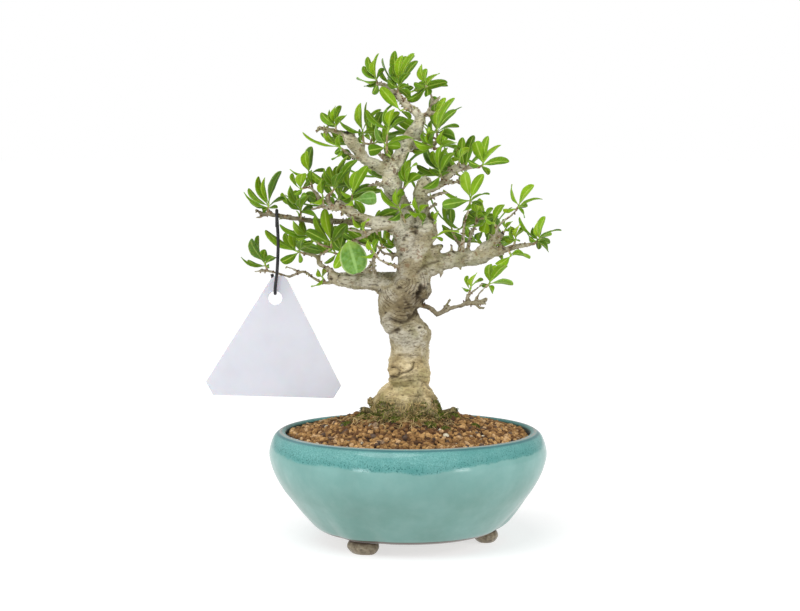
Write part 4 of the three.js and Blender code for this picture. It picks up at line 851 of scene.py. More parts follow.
SPRAYS = {
    "hook_branch": [
        spray_from([-84, 200.2, -2], tufts=[
            drawn([-83, 207, -3], [-86, 222, 2.5], [-76, 226, 4], [-90, 222.5, 4], [-95, 215, 2.5],
                  [-98, 213, 1.5], [-74, 209.5, 1.3], [-95, 209.5, 2.4], [-78, 204, 2], [-87, 202.5, 4])]),
        spray_from([-64, 197.1, 3], tufts=[
            drawn([-64, 205, -1], [-71, 216.5, 4.5], [-67, 214, 3.5], [-58, 212, 3.5], [-75, 212.5, 1.3],
                  [-62, 212, 2], [-72, 209.5, 3.4], [-53, 197.5, 3.5], [-57, 204, 3])]),
        spray_from([-60.5, 216.3, -13], tufts=[
            drawn([-64.5, 215, -14], [-63, 224.5, 6.5], [-69, 224, 1.2], [-68, 212, 3], [-56, 219, 3])]),
        spray_from([-57, 215, -12.5], tufts=[
            drawn([-59, 225.5, -10], [-61.5, 237.5, 5.2], [-57.5, 240, 5.4], [-70.5, 226.5, 1.4],
                  [-50, 226, 1.4], [-55, 220, 2.5])]),
        spray_from([-50.5, 204, -12], tufts=[
            drawn([-51, 212, -12], [-52, 220.8, 2.8], [-49.5, 219.6, 2.4], [-57.5, 206.5, 3.2],
                  [-45, 206.5, 3.8])]),
    ],
    "left_middle": [
        spray_from([-46.5, 212, -9.4], tufts=[
            drawn([-42, 218, -7], [-36, 235, 3], [-47, 228, 3.4], [-50.5, 226.8, 3.4], [-58, 225, 4],
                  [-31, 233, 4.5], [-34, 217, 3], [-40, 226, 3])]),
        spray_from([-33.5, 202, -12.8], fork=[-34, 208.8, -14.6], tufts=[
            drawn([-33, 213.5, -13], [-30.5, 226.5, 4], [-36, 225, 2.6], [-24.5, 229, 6], [-22, 217, 2.6],
                  [-40, 213.5, 2.6], [-20.5, 214.5, 2.6], [-39.5, 208.5, 5]),
            drawn([-32, 209, -16], [-18.5, 210, 8.5], [-27, 200.5, 5], [-36.5, 205.5, 3])]),
        spray_from([-24.5, 188, -8.5], tufts=[
            drawn([-27.5, 192.3, -12], [-33.5, 198, 2.4], [-30.5, 198.5, 2.4], [-24, 197, 2.2])]),
        spray_from([-1, 194, -5], tufts=[
            drawn([-6, 205, -12], [-7.5, 215, 3], [-3, 214.5, 3.2], [-17, 215, 3.2], [-14, 211, 2.6],
                  [2, 206, 2.4], [-18, 198, 6], [-11.5, 196.5, 4])]),
    ],
    "low_left": [
        spray_from([-50, 177.4, 4], fork=[-45.9, 180.2, 1.2], tufts=[
            drawn([-46, 184.5, -1], [-50, 203.5, 6], [-46, 200, 5], [-56, 199, 4], [-38, 191.5, 5],
                  [-61, 190.5, 6], [-37, 194.5, 5], [-54, 203.5, 3.5]),
            drawn([-60, 187.5, -2], [-69, 195.5, 4], [-63, 196, 3], [-77, 193.5, 3], [-66, 188, 2.2],
                  [-56, 184, 3], [-52, 190, 3], via=[[-53, 182.5, 0]])]),
        spray_from([-61.5, 176.6, 4.6], tufts=[
            drawn([-67.5, 178.5, 1], [-69, 190.5, 4.6], [-73.5, 188.5, 4], [-85.5, 190.3, 4.2],
                  [-58, 182, 3], [-76, 171.5, 5.4], [-65, 171.5, 2.6], [-62, 186, 3])]),
        spray_from([-84, 166.3, 8], tufts=[
            drawn([-86, 172, 6], [-94.5, 185, 5.6], [-85.5, 178.8, 4.6], [-80, 175, 4.8], [-89.5, 187, 1.1],
                  [-100, 174, 1.6], [-95.5, 172.5, 2], [-83, 169, 3])]),
        spray_from([-49, 159, 3.2], tufts=[
            drawn([-51.5, 163, 0.8], [-54.5, 166.5, 3], [-47.8, 167.5, 2.6], [-57.5, 157, 1.2])]),
        spray_from([-31.5, 183.1, -10.5], tufts=[
            drawn([-36, 184.6, -13], [-30.5, 164.8, 13.5], [-44, 168, 6.5])]),
        spray_from([-18.5, 174.5, -12.6], tufts=[
            drawn([-21, 178.8, -14], [-24.5, 184.5, 3.4], [-18, 184.8, 3.4], [-27.5, 174.5, 2])]),
        spray_from([-4, 180, 2], tufts=[
            drawn([-12.5, 183.8, 2.5], [-17, 186, 3], [-11, 189, 3])]),
    ],
    "upper_left": [
        spray_from([-43, 249.4, -5.4], tufts=[
            drawn([-43, 254.5, -6.8], [-44, 264, 3.4], [-40, 264.3, 3], [-47, 262, 2.4], [-51.5, 260, 5],
                  [-37.5, 259, 3.6], [-47.5, 256.5, 3.4])]),
        spray_from([-37, 237.4, -7.7], tufts=[
            drawn([-41.5, 240.5, -9.5], [-63, 248.3, 1.6], [-49, 249.5, 3.6], [-41, 248, 3.4],
                  [-43.5, 236.5, 3.4], [-45, 233, 1.5], [-34.5, 233, 5])]),
        spray_from([-26.5, 243, -1], tufts=[
            drawn([-27, 250, -1], [-29, 266, 4.6], [-16.5, 262.5, 1.3], [-41.5, 256, 2.6],
                  [-20, 249.5, 3.2], [-22.5, 245, 3])]),
        spray_from([-7, 231, 0], fork=[-12.6, 236.4, -6.6], tufts=[
            drawn([-14, 242.5, -9], [-19.5, 253, 3.6], [-11, 254, 3.6], [3, 245.8, 3], [-4.5, 240.5, 6],
                  [-24, 238, 7.5], [-10, 235.5, 5]),
            drawn([-11.5, 252, -10], [-9.5, 262.8, 5], [-5.5, 260.5, 4], [-13, 262.5, 3], [-25, 261.5, 3.6],
                  [-22.5, 257.5, 1.3], [-1.5, 256.5, 2.6], via=[[-12.6, 246, -10]])]),
    ],
    "apex": [
        spray_from([-18, 277.3, -4], tufts=[
            drawn([-19.3, 281.5, -5.5], [-20.5, 292, 4], [-24, 293, 4], [-18, 295.5, 1.3],
                  [-26.5, 287.5, 4], [-30, 281, 1.4], [-14.5, 286, 2], [-25.5, 276, 3], [-21, 272, 3.6])]),
        spray_from([0.5, 263.5, -1], tufts=[
            drawn([-4.8, 261.6, -6.5], [-16.5, 275.5, 6.6], [1, 257, 2.6])]),
        spray_from([-7, 271, -2.5], tufts=[
            drawn([-5, 278.5, -5], [-4.3, 294.5, 4.6], [-1.5, 293.5, 3.2], [3.3, 295.5, 3.4],
                  [-9.5, 288, 4], [0.5, 284, 4], [-17, 285.5, 1.4], [-12.5, 280.5, 4], [0.5, 270, 4.4])]),
        spray_from([11.3, 274.5, 2], tufts=[
            drawn([10.3, 278, 1.5], [7, 288.5, 4.6], [11, 286, 3], [18, 283.5, 2.6], [4, 278, 3],
                  [11.8, 270.5, 5], [0, 267.5, 4])]),
        spray_from([17.4, 246, -1.3], tufts=[
            drawn([17, 251.8, -3], [18.3, 263, 3.6], [22, 269, 4], [27, 269.5, 3.6], [28.3, 262, 4.2],
                  [9.5, 251.5, 3.4], [30, 252.5, 1.5], [28, 246, 6])]),
    ],
    "upper_right": [
        spray_from([14, 242.2, 2], fork=[15.4, 238.8, -2.4], tufts=[
            drawn([14, 241.5, -6], [12, 251, 3.2], [8, 248, 3], [3.5, 243, 5], [3, 237.8, 2.6],
                  [16, 250, 3]),
            drawn([20, 240, -6], [20.3, 250, 3.6], [24.5, 248.5, 4], [28, 243, 4], [30.3, 239, 1.4])]),
        spray_from([20.5, 219.5, 0.5], tufts=[
            drawn([18.6, 227, -4.5], [19.5, 241.5, 4], [15, 237.5, 4], [23, 240, 3], [10.5, 239.5, 4.6],
                  [26.8, 237.5, 5], [5.5, 229, 3.4], [9.3, 215.3, 4.6], [22.5, 213, 3])]),
        spray_from([30, 228, 1.5], tufts=[
            drawn([30.8, 234, -1], [31, 239, 2.6], [36, 239, 3], [28, 240, 3], [26.5, 234, 2.6])]),
        spray_from([42, 228, 2], tufts=[
            drawn([45.3, 230, 0], [40, 243.8, 7.5], [47.3, 246.3, 5], [55, 241.5, 3], [60, 232, 4.8],
                  [35.5, 232, 4], [47.8, 224, 3])]),
        spray_from([-4, 214, 3], tufts=[
            drawn([0, 219, -9], [-2, 231.5, 3.6], [1.3, 232, 3.6], [4.3, 230.5, 3], [-5, 226, 2.6],
                  [6.5, 224, 3])]),
        spray_from([9, 194, -3], tufts=[
            drawn([6.6, 202.6, -10.5], [3.5, 210, 3], [0.6, 216.5, 3.4], [11.5, 206, 3.6], [9.5, 197, 4.4],
                  [0.5, 202, 3])]),
        spray_from([14, 192, -1], tufts=[
            drawn([16.8, 196.4, -6], [17.8, 202, 3], [14.8, 201.5, 2])]),
        spray_from([10, 184, -2], tufts=[
            drawn([16.6, 186.6, -5], [30, 190, 1.2], [20.3, 184.3, 2])]),
    ],
    "right_main": [
        spray_from([36.6, 205, -7.8], tufts=[
            drawn([37.3, 210, -9], [33.5, 225.3, 7], [44.5, 223.8, 6], [20, 205.5, 6.6], [21, 214.5, 1.5],
                  [48, 212.5, 1.4], [43.5, 205.5, 2.4], [33.5, 202, 2.4])]),
        spray_from([40.6, 194, 2.8], tufts=[
            drawn([41, 201.5, 0], [39, 207.5, 3.6], [44.5, 208, 3.4], [45, 200, 3], [36.5, 197.5, 2.6])]),
        spray_from([42.5, 198, 3.7], tufts=[
            drawn([47.5, 197, 0.5], [45, 189, 7], [42.6, 209, 4.4], [36, 193, 1.4], [50.5, 204, 3])]),
        spray_from([53.2, 192.3, -6.5], tufts=[
            drawn([50.6, 195.6, -9.5], [56.5, 206.3, 5], [51.8, 184, 5], [45.5, 199, 2.4])]),
        spray_from([64.2, 202.4, -7.9], tufts=[
            drawn([66.3, 205.6, -8.5], [61.5, 217.8, 2.4], [74.3, 217.5, 4.6], [80, 209.6, 1.9],
                  [57, 203, 1.6], [69.5, 198.5, 1.5], [71, 205, 3])]),
        spray_from([75, 182.3, -5], tufts=[
            drawn([79, 186, -6], [77, 195.5, 4], [81.3, 198.6, 4], [74, 192, 3.6], [66, 198, 1.8],
                  [91, 191, 1.6], [85.5, 188, 2.6], [71.5, 188, 3], [84.5, 183, 4], [84, 178.5, 3.6],
                  [78, 179.5, 3])]),
        spray_from([63, 180.4, -5], tufts=[
            drawn([64.3, 186, -7], [66.3, 193.8, 3.2], [69.5, 191.5, 2.6], [61, 192.5, 2.8],
                  [58, 185.5, 3])]),
        spray_from([56, 188, -5.3], tufts=[
            drawn([58.6, 191.6, -5.6], [61.8, 196, 3], [57.5, 197, 1.6], [65, 190, 3.4])]),
        spray_from([60, 179, -5.4], tufts=[
            drawn([61.6, 175.2, -10], [53, 169.5, 5], [72.5, 174, 1.3], [70.5, 175.5, 4.2])]),
    ],
    "low_right": [
        spray_from([46.4, 156.6, -14], tufts=[
            drawn([49.3, 159.2, -14.5], [48.5, 170.5, 5.4], [53, 169, 4], [58.5, 170.3, 5.6],
                  [62.5, 158.3, 3.4], [51, 153.5, 3.4], [44, 158.5, 2])]),
        spray_from([36.3, 152, -12], tufts=[
            drawn([37.6, 156.6, -13.5], [40.5, 164.6, 3.6], [44.5, 161, 1.6], [32.5, 156, 1.6],
                  [35.5, 163, 2])]),
    ],
    "back": [
        spray_from([-37, 173, 49], fork=[-39.6, 175.7, 52.1], tufts=[
            hidden(-40, 181, 55), hidden(-47, 178, 50), hidden(-36, 178, 60)]),
        spray_from([-18, 176.5, 47.6], fork=[-15.8, 180, 50.9], tufts=[
            hidden(-15, 184, 52), hidden(-22, 183, 56), hidden(-10, 181, 58)]),
        spray_from([44, 178, 46.6], fork=[48, 180.4, 49.7], tufts=[
            hidden(49, 185, 51), hidden(41, 184, 56), hidden(52, 181, 42)]),
        spray_from([28.8, 185.5, 46.6], fork=[26.9, 189, 49.9], tufts=[
            hidden(26, 193, 51), hidden(32, 192, 45)]),
        spray_from([-4.3, 219, 40.4], fork=[-3.5, 222.1, 44.3], tufts=[
            hidden(-3, 227, 45), hidden(-12, 223, 47), hidden(5, 222, 50)]),
        spray_from([-39, 202.3, 30.6], fork=[-41.6, 204.5, 34.1], tufts=[
            hidden(-41, 210, 33), hidden(-48, 206, 28), hidden(-34, 208, 40)]),
        spray_from([15, 242.4, 30], fork=[17.7, 244.5, 33], tufts=[
            hidden(17, 250, 32), hidden(10, 248, 36)]),
        spray_from([-20.3, 239.3, 28], fork=[-22.3, 241.7, 31.1], tufts=[
            hidden(-21, 247, 30), hidden(-29, 243, 27), hidden(-18, 243, 38)]),
        spray_from([-3.4, 269.3, 13.2], fork=[-5.4, 271.7, 16.3], tufts=[
            hidden(-5, 277, 16), hidden(3, 273, 20)]),
        spray_from([30.6, 219.7, 20.4], fork=[33.8, 221, 24.2], tufts=[
            hidden(34, 226, 24), hidden(28, 225, 30)]),
    ],
}
print("sprays:", sum(len(sprays) for sprays in SPRAYS.values()))

# %% [markdown]
# A drawn number between 0 and 1 gives each leaf its own length and width. It is the golden share of the
# leaf's number, so it scatters well, and it is the same in every run. A leaf that would touch something
# swings away by one of a few steps. Which one it took is read from the solid: the tip and the edges of
# the right pose lie on its corners.

# %% Poses of the leaves
GOLDEN = 0.61803398875
SECOND_GOLDEN = 0.7548776662
SWINGS = [(0, 0), (6, 0), (-6, 0), (0, 0.7), (0, -0.7), (12, 0), (-12, 0), (6, 0.7), (-6, -0.7), (18, 0),
          (-18, 0)]
EDGE_STATIONS = [(0.48, 1), (0.82, 0.74)]
LEAF_BOW = 0.07
LEAF_FOLD = 0.22


def draw(index, stream):
    value = index * GOLDEN + stream * SECOND_GOLDEN
    return value - math.floor(value)


class Leaf:
    """Where a leaf springs from, where its tip is, how wide it is and which way it faces, in millimetres."""

    def __init__(self, base, tip, width, shown, turn):
        self.base = base
        self.tip = tip
        self.width = width
        self.length = (tip - base).length
        self.along = (tip - base).normalized()
        wide = Vector((0, -1, 0)).cross(self.along).normalized()
        lean = math.acos(min(shown / width, 1)) + turn
        self.flat = Matrix.Rotation(lean, 3, self.along) @ wide
        self.face = self.flat.cross(self.along)

    def spot(self, share, side, lift):
        """A place on the leaf: share of its length, place across in millimetres, height over its face."""
        bow = LEAF_BOW * self.length * 4 * share * (1 - share)
        return self.base + self.along * share * self.length - self.flat * side + self.face * (bow + lift)

    def edges(self):
        for share, wide in EDGE_STATIONS:
            half = self.width / 2 * wide
            yield self.spot(share, half, LEAF_FOLD * half)
            yield self.spot(share, -half, LEAF_FOLD * half)


def compass(angle):
    """The level direction at an angle round the axis."""
    return Vector((math.cos(angle), math.sin(angle), 0))


print("golden share of leaf 1:", round(draw(1, 1), 3))

# %% [markdown]
# The rules for a leaf's length, width and lean are those of the solids. They give one pose for each
# swing, and the solid decides between them. The front-facing leaves are drawn, so their tips are known.
# Hidden ones spread from the shoot in crossed pairs.

# %% The pose that a leaf took
LEAF_WIDTHS = (5.6, 2)
LEAF_LENGTHS = (17, 5)
PUSH_TO_ANGLE = 15


def shoot_line(spray, tuft):
    return [seen(*spot) for spot in [spray["fork"], *tuft["via"], tuft["at"]]]


def drawn_poses(tuft, index, base, width, length):
    """The poses of a leaf whose tip and shown width are drawn."""
    across, up, shown = tuft["leaves"][index]
    back = tuft["at"][2]
    straight = (base - seen(across, up, back)).length
    reach = min(length, 1.35 * straight + 1)
    deep = math.sqrt(max(0, reach * reach - straight * straight)) * (1 if index % 2 else -1)
    width = min(max(width, shown), 0.45 * reach + shown * 0.3)
    return [Leaf(base, seen(across, up, back + deep + push), width, shown, turn) for push, turn in SWINGS]


def poses(spray, tuft, index, counter):
    """All poses that a leaf may have taken."""
    below, crown = shoot_line(spray, tuft)[-2:]
    shoot = (crown - below).normalized()
    drop = min(0.4 + 1.3 * (index // 2), 0.5 * (crown - below).length)
    base = crown - shoot * drop
    width = LEAF_WIDTHS[0] + LEAF_WIDTHS[1] * draw(counter, 1)
    length = LEAF_LENGTHS[0] + LEAF_LENGTHS[1] * draw(counter, 2)
    if "leaves" in tuft:
        return drawn_poses(tuft, index, base, width, length)
    spread = 0.35 + 0.4 * (index // 2) + 0.2 * draw(counter, 3)
    round_shoot = math.pi * index + math.pi / 2 * (index // 2) + 6 * draw(tuft["count"] + crown.y, 4)
    made = []
    for push, turn in SWINGS:
        angle = round_shoot + push / PUSH_TO_ANGLE
        sideways = compass(angle) * length * math.sin(spread)
        tip = base + shoot * length * math.cos(spread) + sideways + Vector((0, 0, 3))
        made.append(Leaf(base, tip, width, width * abs(math.sin(angle)), turn))
    return made


def corner_tree(node):
    """The corners of a solid, ready for looking up."""
    corners = frame["nodes"][node].data.vertices
    found = KDTree(len(corners))
    for index, corner in enumerate(corners):
        found.insert(corner.co, index)
    found.balance()
    return found


def taken_pose(candidates, corners):
    """The pose whose tip and edges lie on the solid's corners, or None if the leaf was left out."""
    best, most = None, 2
    for leaf in candidates:
        places = [leaf.tip, *leaf.edges()]
        hits = sum(corners.find(pot_axis + spot * MM)[2] < 0.03 * MM for spot in places)
        if hits > most:
            best, most = leaf, hits
    return best


print("a leaf may have taken one of", len(SWINGS), "poses")

# %% [markdown]
# One leaf is modelled once as a flat grid: ten rows from stalk to tip, four columns across. Solidify
# gives the grid a thickness, so a blade is a closed body. Then each leaf is a copy of this grid, and a
# rule bends the copy: the outline is a blunt ellipse on a short stalk, the blade folds up from the
# midrib, its edge ripples, and the tip bends back a little.

# %% The flat leaf
LEAF_ROWS = [0, 0.1, 0.2, 0.34, 0.48, 0.62, 0.75, 0.86, 0.94, 0.985, 1]
template = bmesh.new()
bmesh.ops.create_grid(template, x_segments=len(LEAF_ROWS) - 1, y_segments=4, size=1, calc_uvs=False)
for vert in template.verts:
    row = round((vert.co.x + 1) / 2 * (len(LEAF_ROWS) - 1))
    vert.co.x = LEAF_ROWS[row]
bmesh.ops.recalc_face_normals(template, faces=template.faces)
bmesh.ops.solidify(template, geom=template.faces[:], thickness=0.1)
levels = [vert.co.z for vert in template.verts]
leaf_middle = (min(levels) + max(levels)) / 2
flat_leaf = stamp("flat_leaf", template)
print("flat leaf:", len(flat_leaf.polygons), "faces")

# %% [markdown]
# The few leaves that are wider than twelve millimetres are nearly full ellipses. All others have the
# outline of a privet leaf.

# %% Bend a leaf into its pose
LEAF_THICK = 0.32
BROAD_LEAF = 12
OLD_LEAF = 7.9


def half_width(share):
    """The outline: a stalk, then a blunt ellipse, as a share of the half width."""
    if share < 0.1:
        return 0.12
    if share < 0.55:
        return 0.12 + 0.88 * math.sin(math.pi / 2 * (share - 0.1) / 0.45) ** 1.15
    return max(0.015, 1 - ((share - 0.55) / 0.45) ** 2.8) ** 0.5


def half_outline(leaf, share):
    """Half the width of the blade in millimetres at a share of its length."""
    if leaf.width > BROAD_LEAF:
        return leaf.width / 2 * 1.2 * math.sqrt(max(0.002, 1 - (2 * share - 1.04) ** 2))
    return leaf.width / 2 * 0.95 * half_width(share)


def add_leaf(bm, layers, leaf, number, tint):
    """Copies the flat leaf into the spray and bends it into its pose."""
    start = len(bm.verts)
    bm.from_mesh(flat_leaf)
    bm.verts.ensure_lookup_table()
    ripple = draw(number, 11) * 6
    curl = (0.1 + 0.2 * draw(number, 12)) * leaf.length
    age = 1 if leaf.width > OLD_LEAF else 0.56 * draw(number, 14) + 0.16 * max(0, leaf.width - 6)
    for vert in bm.verts[start:]:
        share, side, under = vert.co
        top = 1 if under > leaf_middle else 0
        half = half_outline(leaf, share)
        fold = LEAF_FOLD * half * (abs(side) ** 1.3)
        beat = math.sin(ripple + 11 * share + (2 if side > 0 else 0))
        wave = 0.055 * half * abs(side) * beat * min(1, 4 * share * (1 - share))
        droop = -curl * max(0, share - 0.6) ** 2
        lift = fold + wave + droop + (LEAF_THICK / 2 if top else -LEAF_THICK / 2)
        for name, value in (("across", side), ("along", share), ("top", top), ("tint", tint), ("age", age)):
            vert[layers[name]] = value
        vert.co = pot_axis + leaf.spot(share, side * half, lift) * MM


print("widest at 0.55 of the length:", half_width(0.55))

# %% [markdown]
# The finish of a leaf follows the blade, so it reads the attributes that were laid on it: how far along
# and how far across. Young leaves are bright yellow-green, old ones bluish and paled by a painted sheen.
# Every leaf has a thin painted highlight along its edge, strongest on old ones. The midrib is a pale line,
# made paler by a painted highlight; fine side veins run forward from it, and the underside is paler and
# dull.

# %% Leaf colours
leaf_green = start_finish("leaf_green", 0.45, Specular_IOR_Level=0.25, Subsurface_Weight=0.12,
                          Subsurface_Scale=0.0015)
young = ramp(leaf_green, attribute(leaf_green, "tint"), (0.0, 40, 74, 0), (0.3, 72, 114, 0),
             (0.55, 116, 158, 2), (0.8, 154, 190, 12), (1.0, 186, 212, 40))
# The old leaves' bluish colour, with a painted sheen over it.
old_and_sheen = ramp(leaf_green, cloud(leaf_green, 400), (0.35, 66, 112, 54), (0.65, 106, 148, 96))
aged = grey(leaf_green, attribute(leaf_green, "age"), 0.5, 0.9)
leaf_shade = mix(leaf_green, aged, young, old_and_sheen)
along = attribute(leaf_green, "along")
aside = sums(leaf_green, "ABSOLUTE", attribute(leaf_green, "across"))
print("leaf colours:", len(leaf_green.node_tree.nodes), "nodes")

# %% Veins, painted highlights on midrib and edge, and underside
forward = sums(leaf_green, "SUBTRACT", along, times(leaf_green, aside, 0.16))
veins = grey(leaf_green, sums(leaf_green, "SINE", times(leaf_green, forward, 46)), 0.72, 0.98)
midrib = grey(leaf_green, aside, 0.17, 0.05)
# The midrib's own pale colour, made paler by a painted highlight.
rib_and_highlight = mix(leaf_green, aged, colour(200, 226, 106), colour(158, 196, 128))
# A painted highlight on the edge of old leaves.
old_edge_highlight = times(leaf_green, aged, grey(leaf_green, aside, 0.86, 0.98))
underside = sums(leaf_green, "SUBTRACT", 1, attribute(leaf_green, "top"))
leaf_shade = paint(leaf_green, leaf_shade, veins, 0.16, colour(158, 192, 44))
leaf_shade = paint(leaf_green, leaf_shade, midrib, 0.7, rib_and_highlight)
leaf_shade = paint(leaf_green, leaf_shade, old_edge_highlight, 0.6, colour(176, 206, 152))
leaf_shade = paint(leaf_green, leaf_shade, grey(leaf_green, along, 0.34, 0.05), 0.45, colour(176, 205, 96))
leaf_shade = paint(leaf_green, leaf_shade, underside, 0.35, colour(122, 158, 40))
# A painted highlight along the edge of every leaf, stronger on old ones.
edge_share = plus(leaf_green, times(leaf_green, aged, 0.5), 0.15)
painted_edge_highlight = times(leaf_green, grey(leaf_green, aside, 0.8, 0.98), edge_share)
leaf_shade = mix(leaf_green, painted_edge_highlight, leaf_shade, colour(178, 198, 132))
patchy = grey(leaf_green, cloud(leaf_green, 330), 0.45, 0.75)
leaf_shade = paint(leaf_green, leaf_shade, patchy, 0.3, colour(58, 98, 2))
print("with its veins:", len(leaf_green.node_tree.nodes), "nodes")

# %% [markdown]
# The same finish covers the shoots. An attribute tells how woody a shoot is: brown at its foot, green at
# its tip.

# %% Shoots and relief
woody_spots = plus(leaf_green, attribute(leaf_green, "woody"),
                   times(leaf_green, cloud(leaf_green, 500), 0.3))
shoot_bark = ramp(leaf_green, cloud(leaf_green, 420), (0.35, 108, 84, 58), (0.5, 158, 138, 104),
                  (0.65, 186, 172, 138))
leaf_shade = mix(leaf_green, grey(leaf_green, woody_spots, 0.45, 0.75), leaf_shade, shoot_bark)
leaf_relief = bump(leaf_green, plus(leaf_green, veins, midrib), -0.35, 0.0003)
dull = plus(leaf_green, times(leaf_green, underside, 0.3), 0.36)
dress(leaf_green, leaf_shade, leaf_relief, dull)
print("leaf finish:", len(leaf_green.node_tree.nodes), "nodes")

# %% [markdown]
# Below the tuft a shoot keeps a pair or two of small, dark leaves. They are too small for the solids, but
# they fill the inside of the crown, and a crown without them looks like wire.

# %% Small leaves
SMALL_LENGTH = 9.5
SMALL_WIDTH = 4.2
FIRST_PAIR = 3.5
PAIR_STEP = 4.6


def small_leaves(line, number):
    """Opposite pairs of short leaves along a shoot."""
    start, end = line[-2:]
    shoot = (end - start).normalized()
    room = (end - start).length
    made = []
    for pair in range(min(2, int(room / 8))):
        base = start + shoot * (FIRST_PAIR + PAIR_STEP * pair)
        across = shoot.orthogonal().normalized()
        turn = draw(number + pair, 16) * math.tau
        for side in (0, math.pi):
            out = Matrix.Rotation(turn + side, 3, shoot) @ across
            length = SMALL_LENGTH * (0.75 + 0.5 * draw(number + pair + side, 17))
            tip = base + shoot * length * 0.55 + out * length * 0.8
            shown = SMALL_WIDTH * (0.3 + 0.6 * draw(number + pair + side, 18))
            made.append(Leaf(base, tip, SMALL_WIDTH, shown, 0))
    return made


print("small leaves are", SMALL_LENGTH, "mm long")

# %% [markdown]
# A spray is one bmesh: its shoots as thin tubes, then each leaf that the solid has, then the small ones.
# Leaves at the top of a tuft are lighter than the older ones below them, and leaves at the back of the
# crown are darker by painted shade.

# %% Shoots of a spray
SHOOT_RADIUS = 0.8
SHOOT_SIDES = 6
LAYERS = ["across", "along", "top", "tint", "age", "woody"]


def add_shoot(bm, layers, line):
    """A tube along the line that thins out and turns from brown to green."""
    soft = [pot_axis + spot * MM for spot in smooth_line(line, 3)]
    radii = [SHOOT_RADIUS * (1 - 0.35 * step / (len(soft) - 1)) * MM for step in range(len(soft))]
    for index, vert in enumerate(tube(bm, soft, radii, SHOOT_SIDES)):
        vert[layers["tint"]] = 0.7
        vert[layers["across"]] = 1
        vert[layers["top"]] = 1
        vert[layers["woody"]] = 1.6 - 1.9 * (index // SHOOT_SIDES) / (len(soft) - 1)


def leaf_tint_and_shade(leaf, index, counter):
    """How light a leaf is: less so low in its tuft and when broad, with painted shade at the crown's back.
    """
    tint = 0.55 * draw(counter, 13) + 0.45 * (1 - index / 6) - 0.14 * max(0, leaf.width - 6)
    # Painted shade: leaves at the back of the crown are darker.
    return tint if leaf.base.y < 6 else tint * 0.6


print("shoots are", 2 * SHOOT_RADIUS, "mm thick at the foot")

# %% Sprays
SMALL_NUMBERS = 400
counter = 0
kept = 0
small = 0
for place_name, sprays in SPRAYS.items():
    for number, spray in enumerate(sprays, 1):
        node = f"leaves_{place_name}_{number}"
        corners = corner_tree(node)
        bm = bmesh.new()
        layers = dict(zip(LAYERS, float_layers(bm, *LAYERS)))
        lines = [shoot_line(spray, tuft) for tuft in spray["tufts"]]
        if spray["fork"] != spray["start"]:
            lines.append([seen(*spray["start"]), seen(*spray["fork"])])
        for line in lines:
            add_shoot(bm, layers, line)
        for tuft in spray["tufts"]:
            for index in range(tuft["count"]):
                counter += 1
                leaf = taken_pose(poses(spray, tuft, index, counter), corners)
                if leaf:
                    add_leaf(bm, layers, leaf, counter, leaf_tint_and_shade(leaf, index, counter))
                    kept += 1
            for leaf in small_leaves(shoot_line(spray, tuft), counter):
                small += 1
                add_leaf(bm, layers, leaf, SMALL_NUMBERS + small, 0.5 * draw(small, 15))
        bmesh.ops.recalc_face_normals(bm, faces=bm.faces)
        finish_piece(f"spray_{place_name}_{number}", bm, leaf_green, [node])
print("leaves found:", kept, "of", counter, "small leaves:", small)

# %% [markdown]
# ## The bowl
#
# The bowl was thrown on a wheel, so its wall is one profile, turned about the axis. Spin does just that.
# Three feet of clay were pressed on below, and the wall bulges a little where a foot sits.
#
# The glaze has two coats. The upper coat is darker and ran down in slow tongues. How far a place lies
# above the edge of that coat is written on the mesh, so the finish can draw the edge with fine speckles
# along it.

# %% Profiles that are turned
WALL = [(10, 6.5), (28, 6.5), (45, 6.5), (51, 7.4), (56, 10), (60.5, 14.6), (65.5, 20.4), (70.6, 26.9),
        (75.6, 33.4), (80.4, 42.2), (83, 50.5), (83.2, 56), (80.8, 63.4), (77.8, 66.4), (75.6, 67),
        (73.6, 65.4), (77, 58.5), (78.2, 52), (76.6, 44), (70.5, 32.5), (61.5, 21), (53, 13.6), (45, 10.5),
        (28, 10.5), (10, 10.5)]
OUTER_WALL = [(height, radius) for radius, height in WALL[2:15]]


def blend_table(table, value):
    """A value read from a table of pairs, with soft steps between them."""
    for (low, first), (high, second) in zip(table, table[1:]):
        if value <= high:
            share = max(0, (value - low) / (high - low))
            return first + (second - first) * share * share * (3 - 2 * share)
    return table[-1][1]


def turned(profile, steps, turns):
    """A closed ring-shaped body from a profile of (radius, height) in millimetres."""
    body = bmesh.new()
    line = smooth_line([Vector((radius, 0, height)) * MM for radius, height in profile], steps)
    corners = [body.verts.new(spot) for spot in line]
    edges = [body.edges.new(pair) for pair in zip(corners, corners[1:])]
    if profile[0][0] and profile[-1][0]:
        edges.append(body.edges.new((corners[-1], corners[0])))
    bmesh.ops.spin(body, geom=corners + edges, cent=(0, 0, 0), axis=(0, 0, 1), angle=math.tau, steps=turns,
                   use_merge=True)
    bmesh.ops.remove_doubles(body, verts=body.verts, dist=0.00001)
    bmesh.ops.recalc_face_normals(body, faces=body.faces)
    return body


bm = turned(WALL, 3, 128)
print("turned bowl:", len(bm.faces), "faces")

# %% [markdown]
# A foot is a ball that is squeezed to a lump, narrower below, and cut off level with the table. It is
# pushed a little way into the wall, and the wall swells out over it and pulls in beside it.

# %% Feet
FOOT_ANGLES = [236, 356, 116]
FOOT_DEEP = 7.5
FOOT_WIDE = 10.4
FOOT_HIGH = 6.6
FOOT_PLACE = Vector((47, 0, 3.4)) * MM
SWELL_TOP = 34
SWELL_MIDDLE = 13


def outer_wall(radius, height):
    """Whether a corner is on the outside of the wall."""
    return radius > blend_table(OUTER_WALL, height) - 1.5


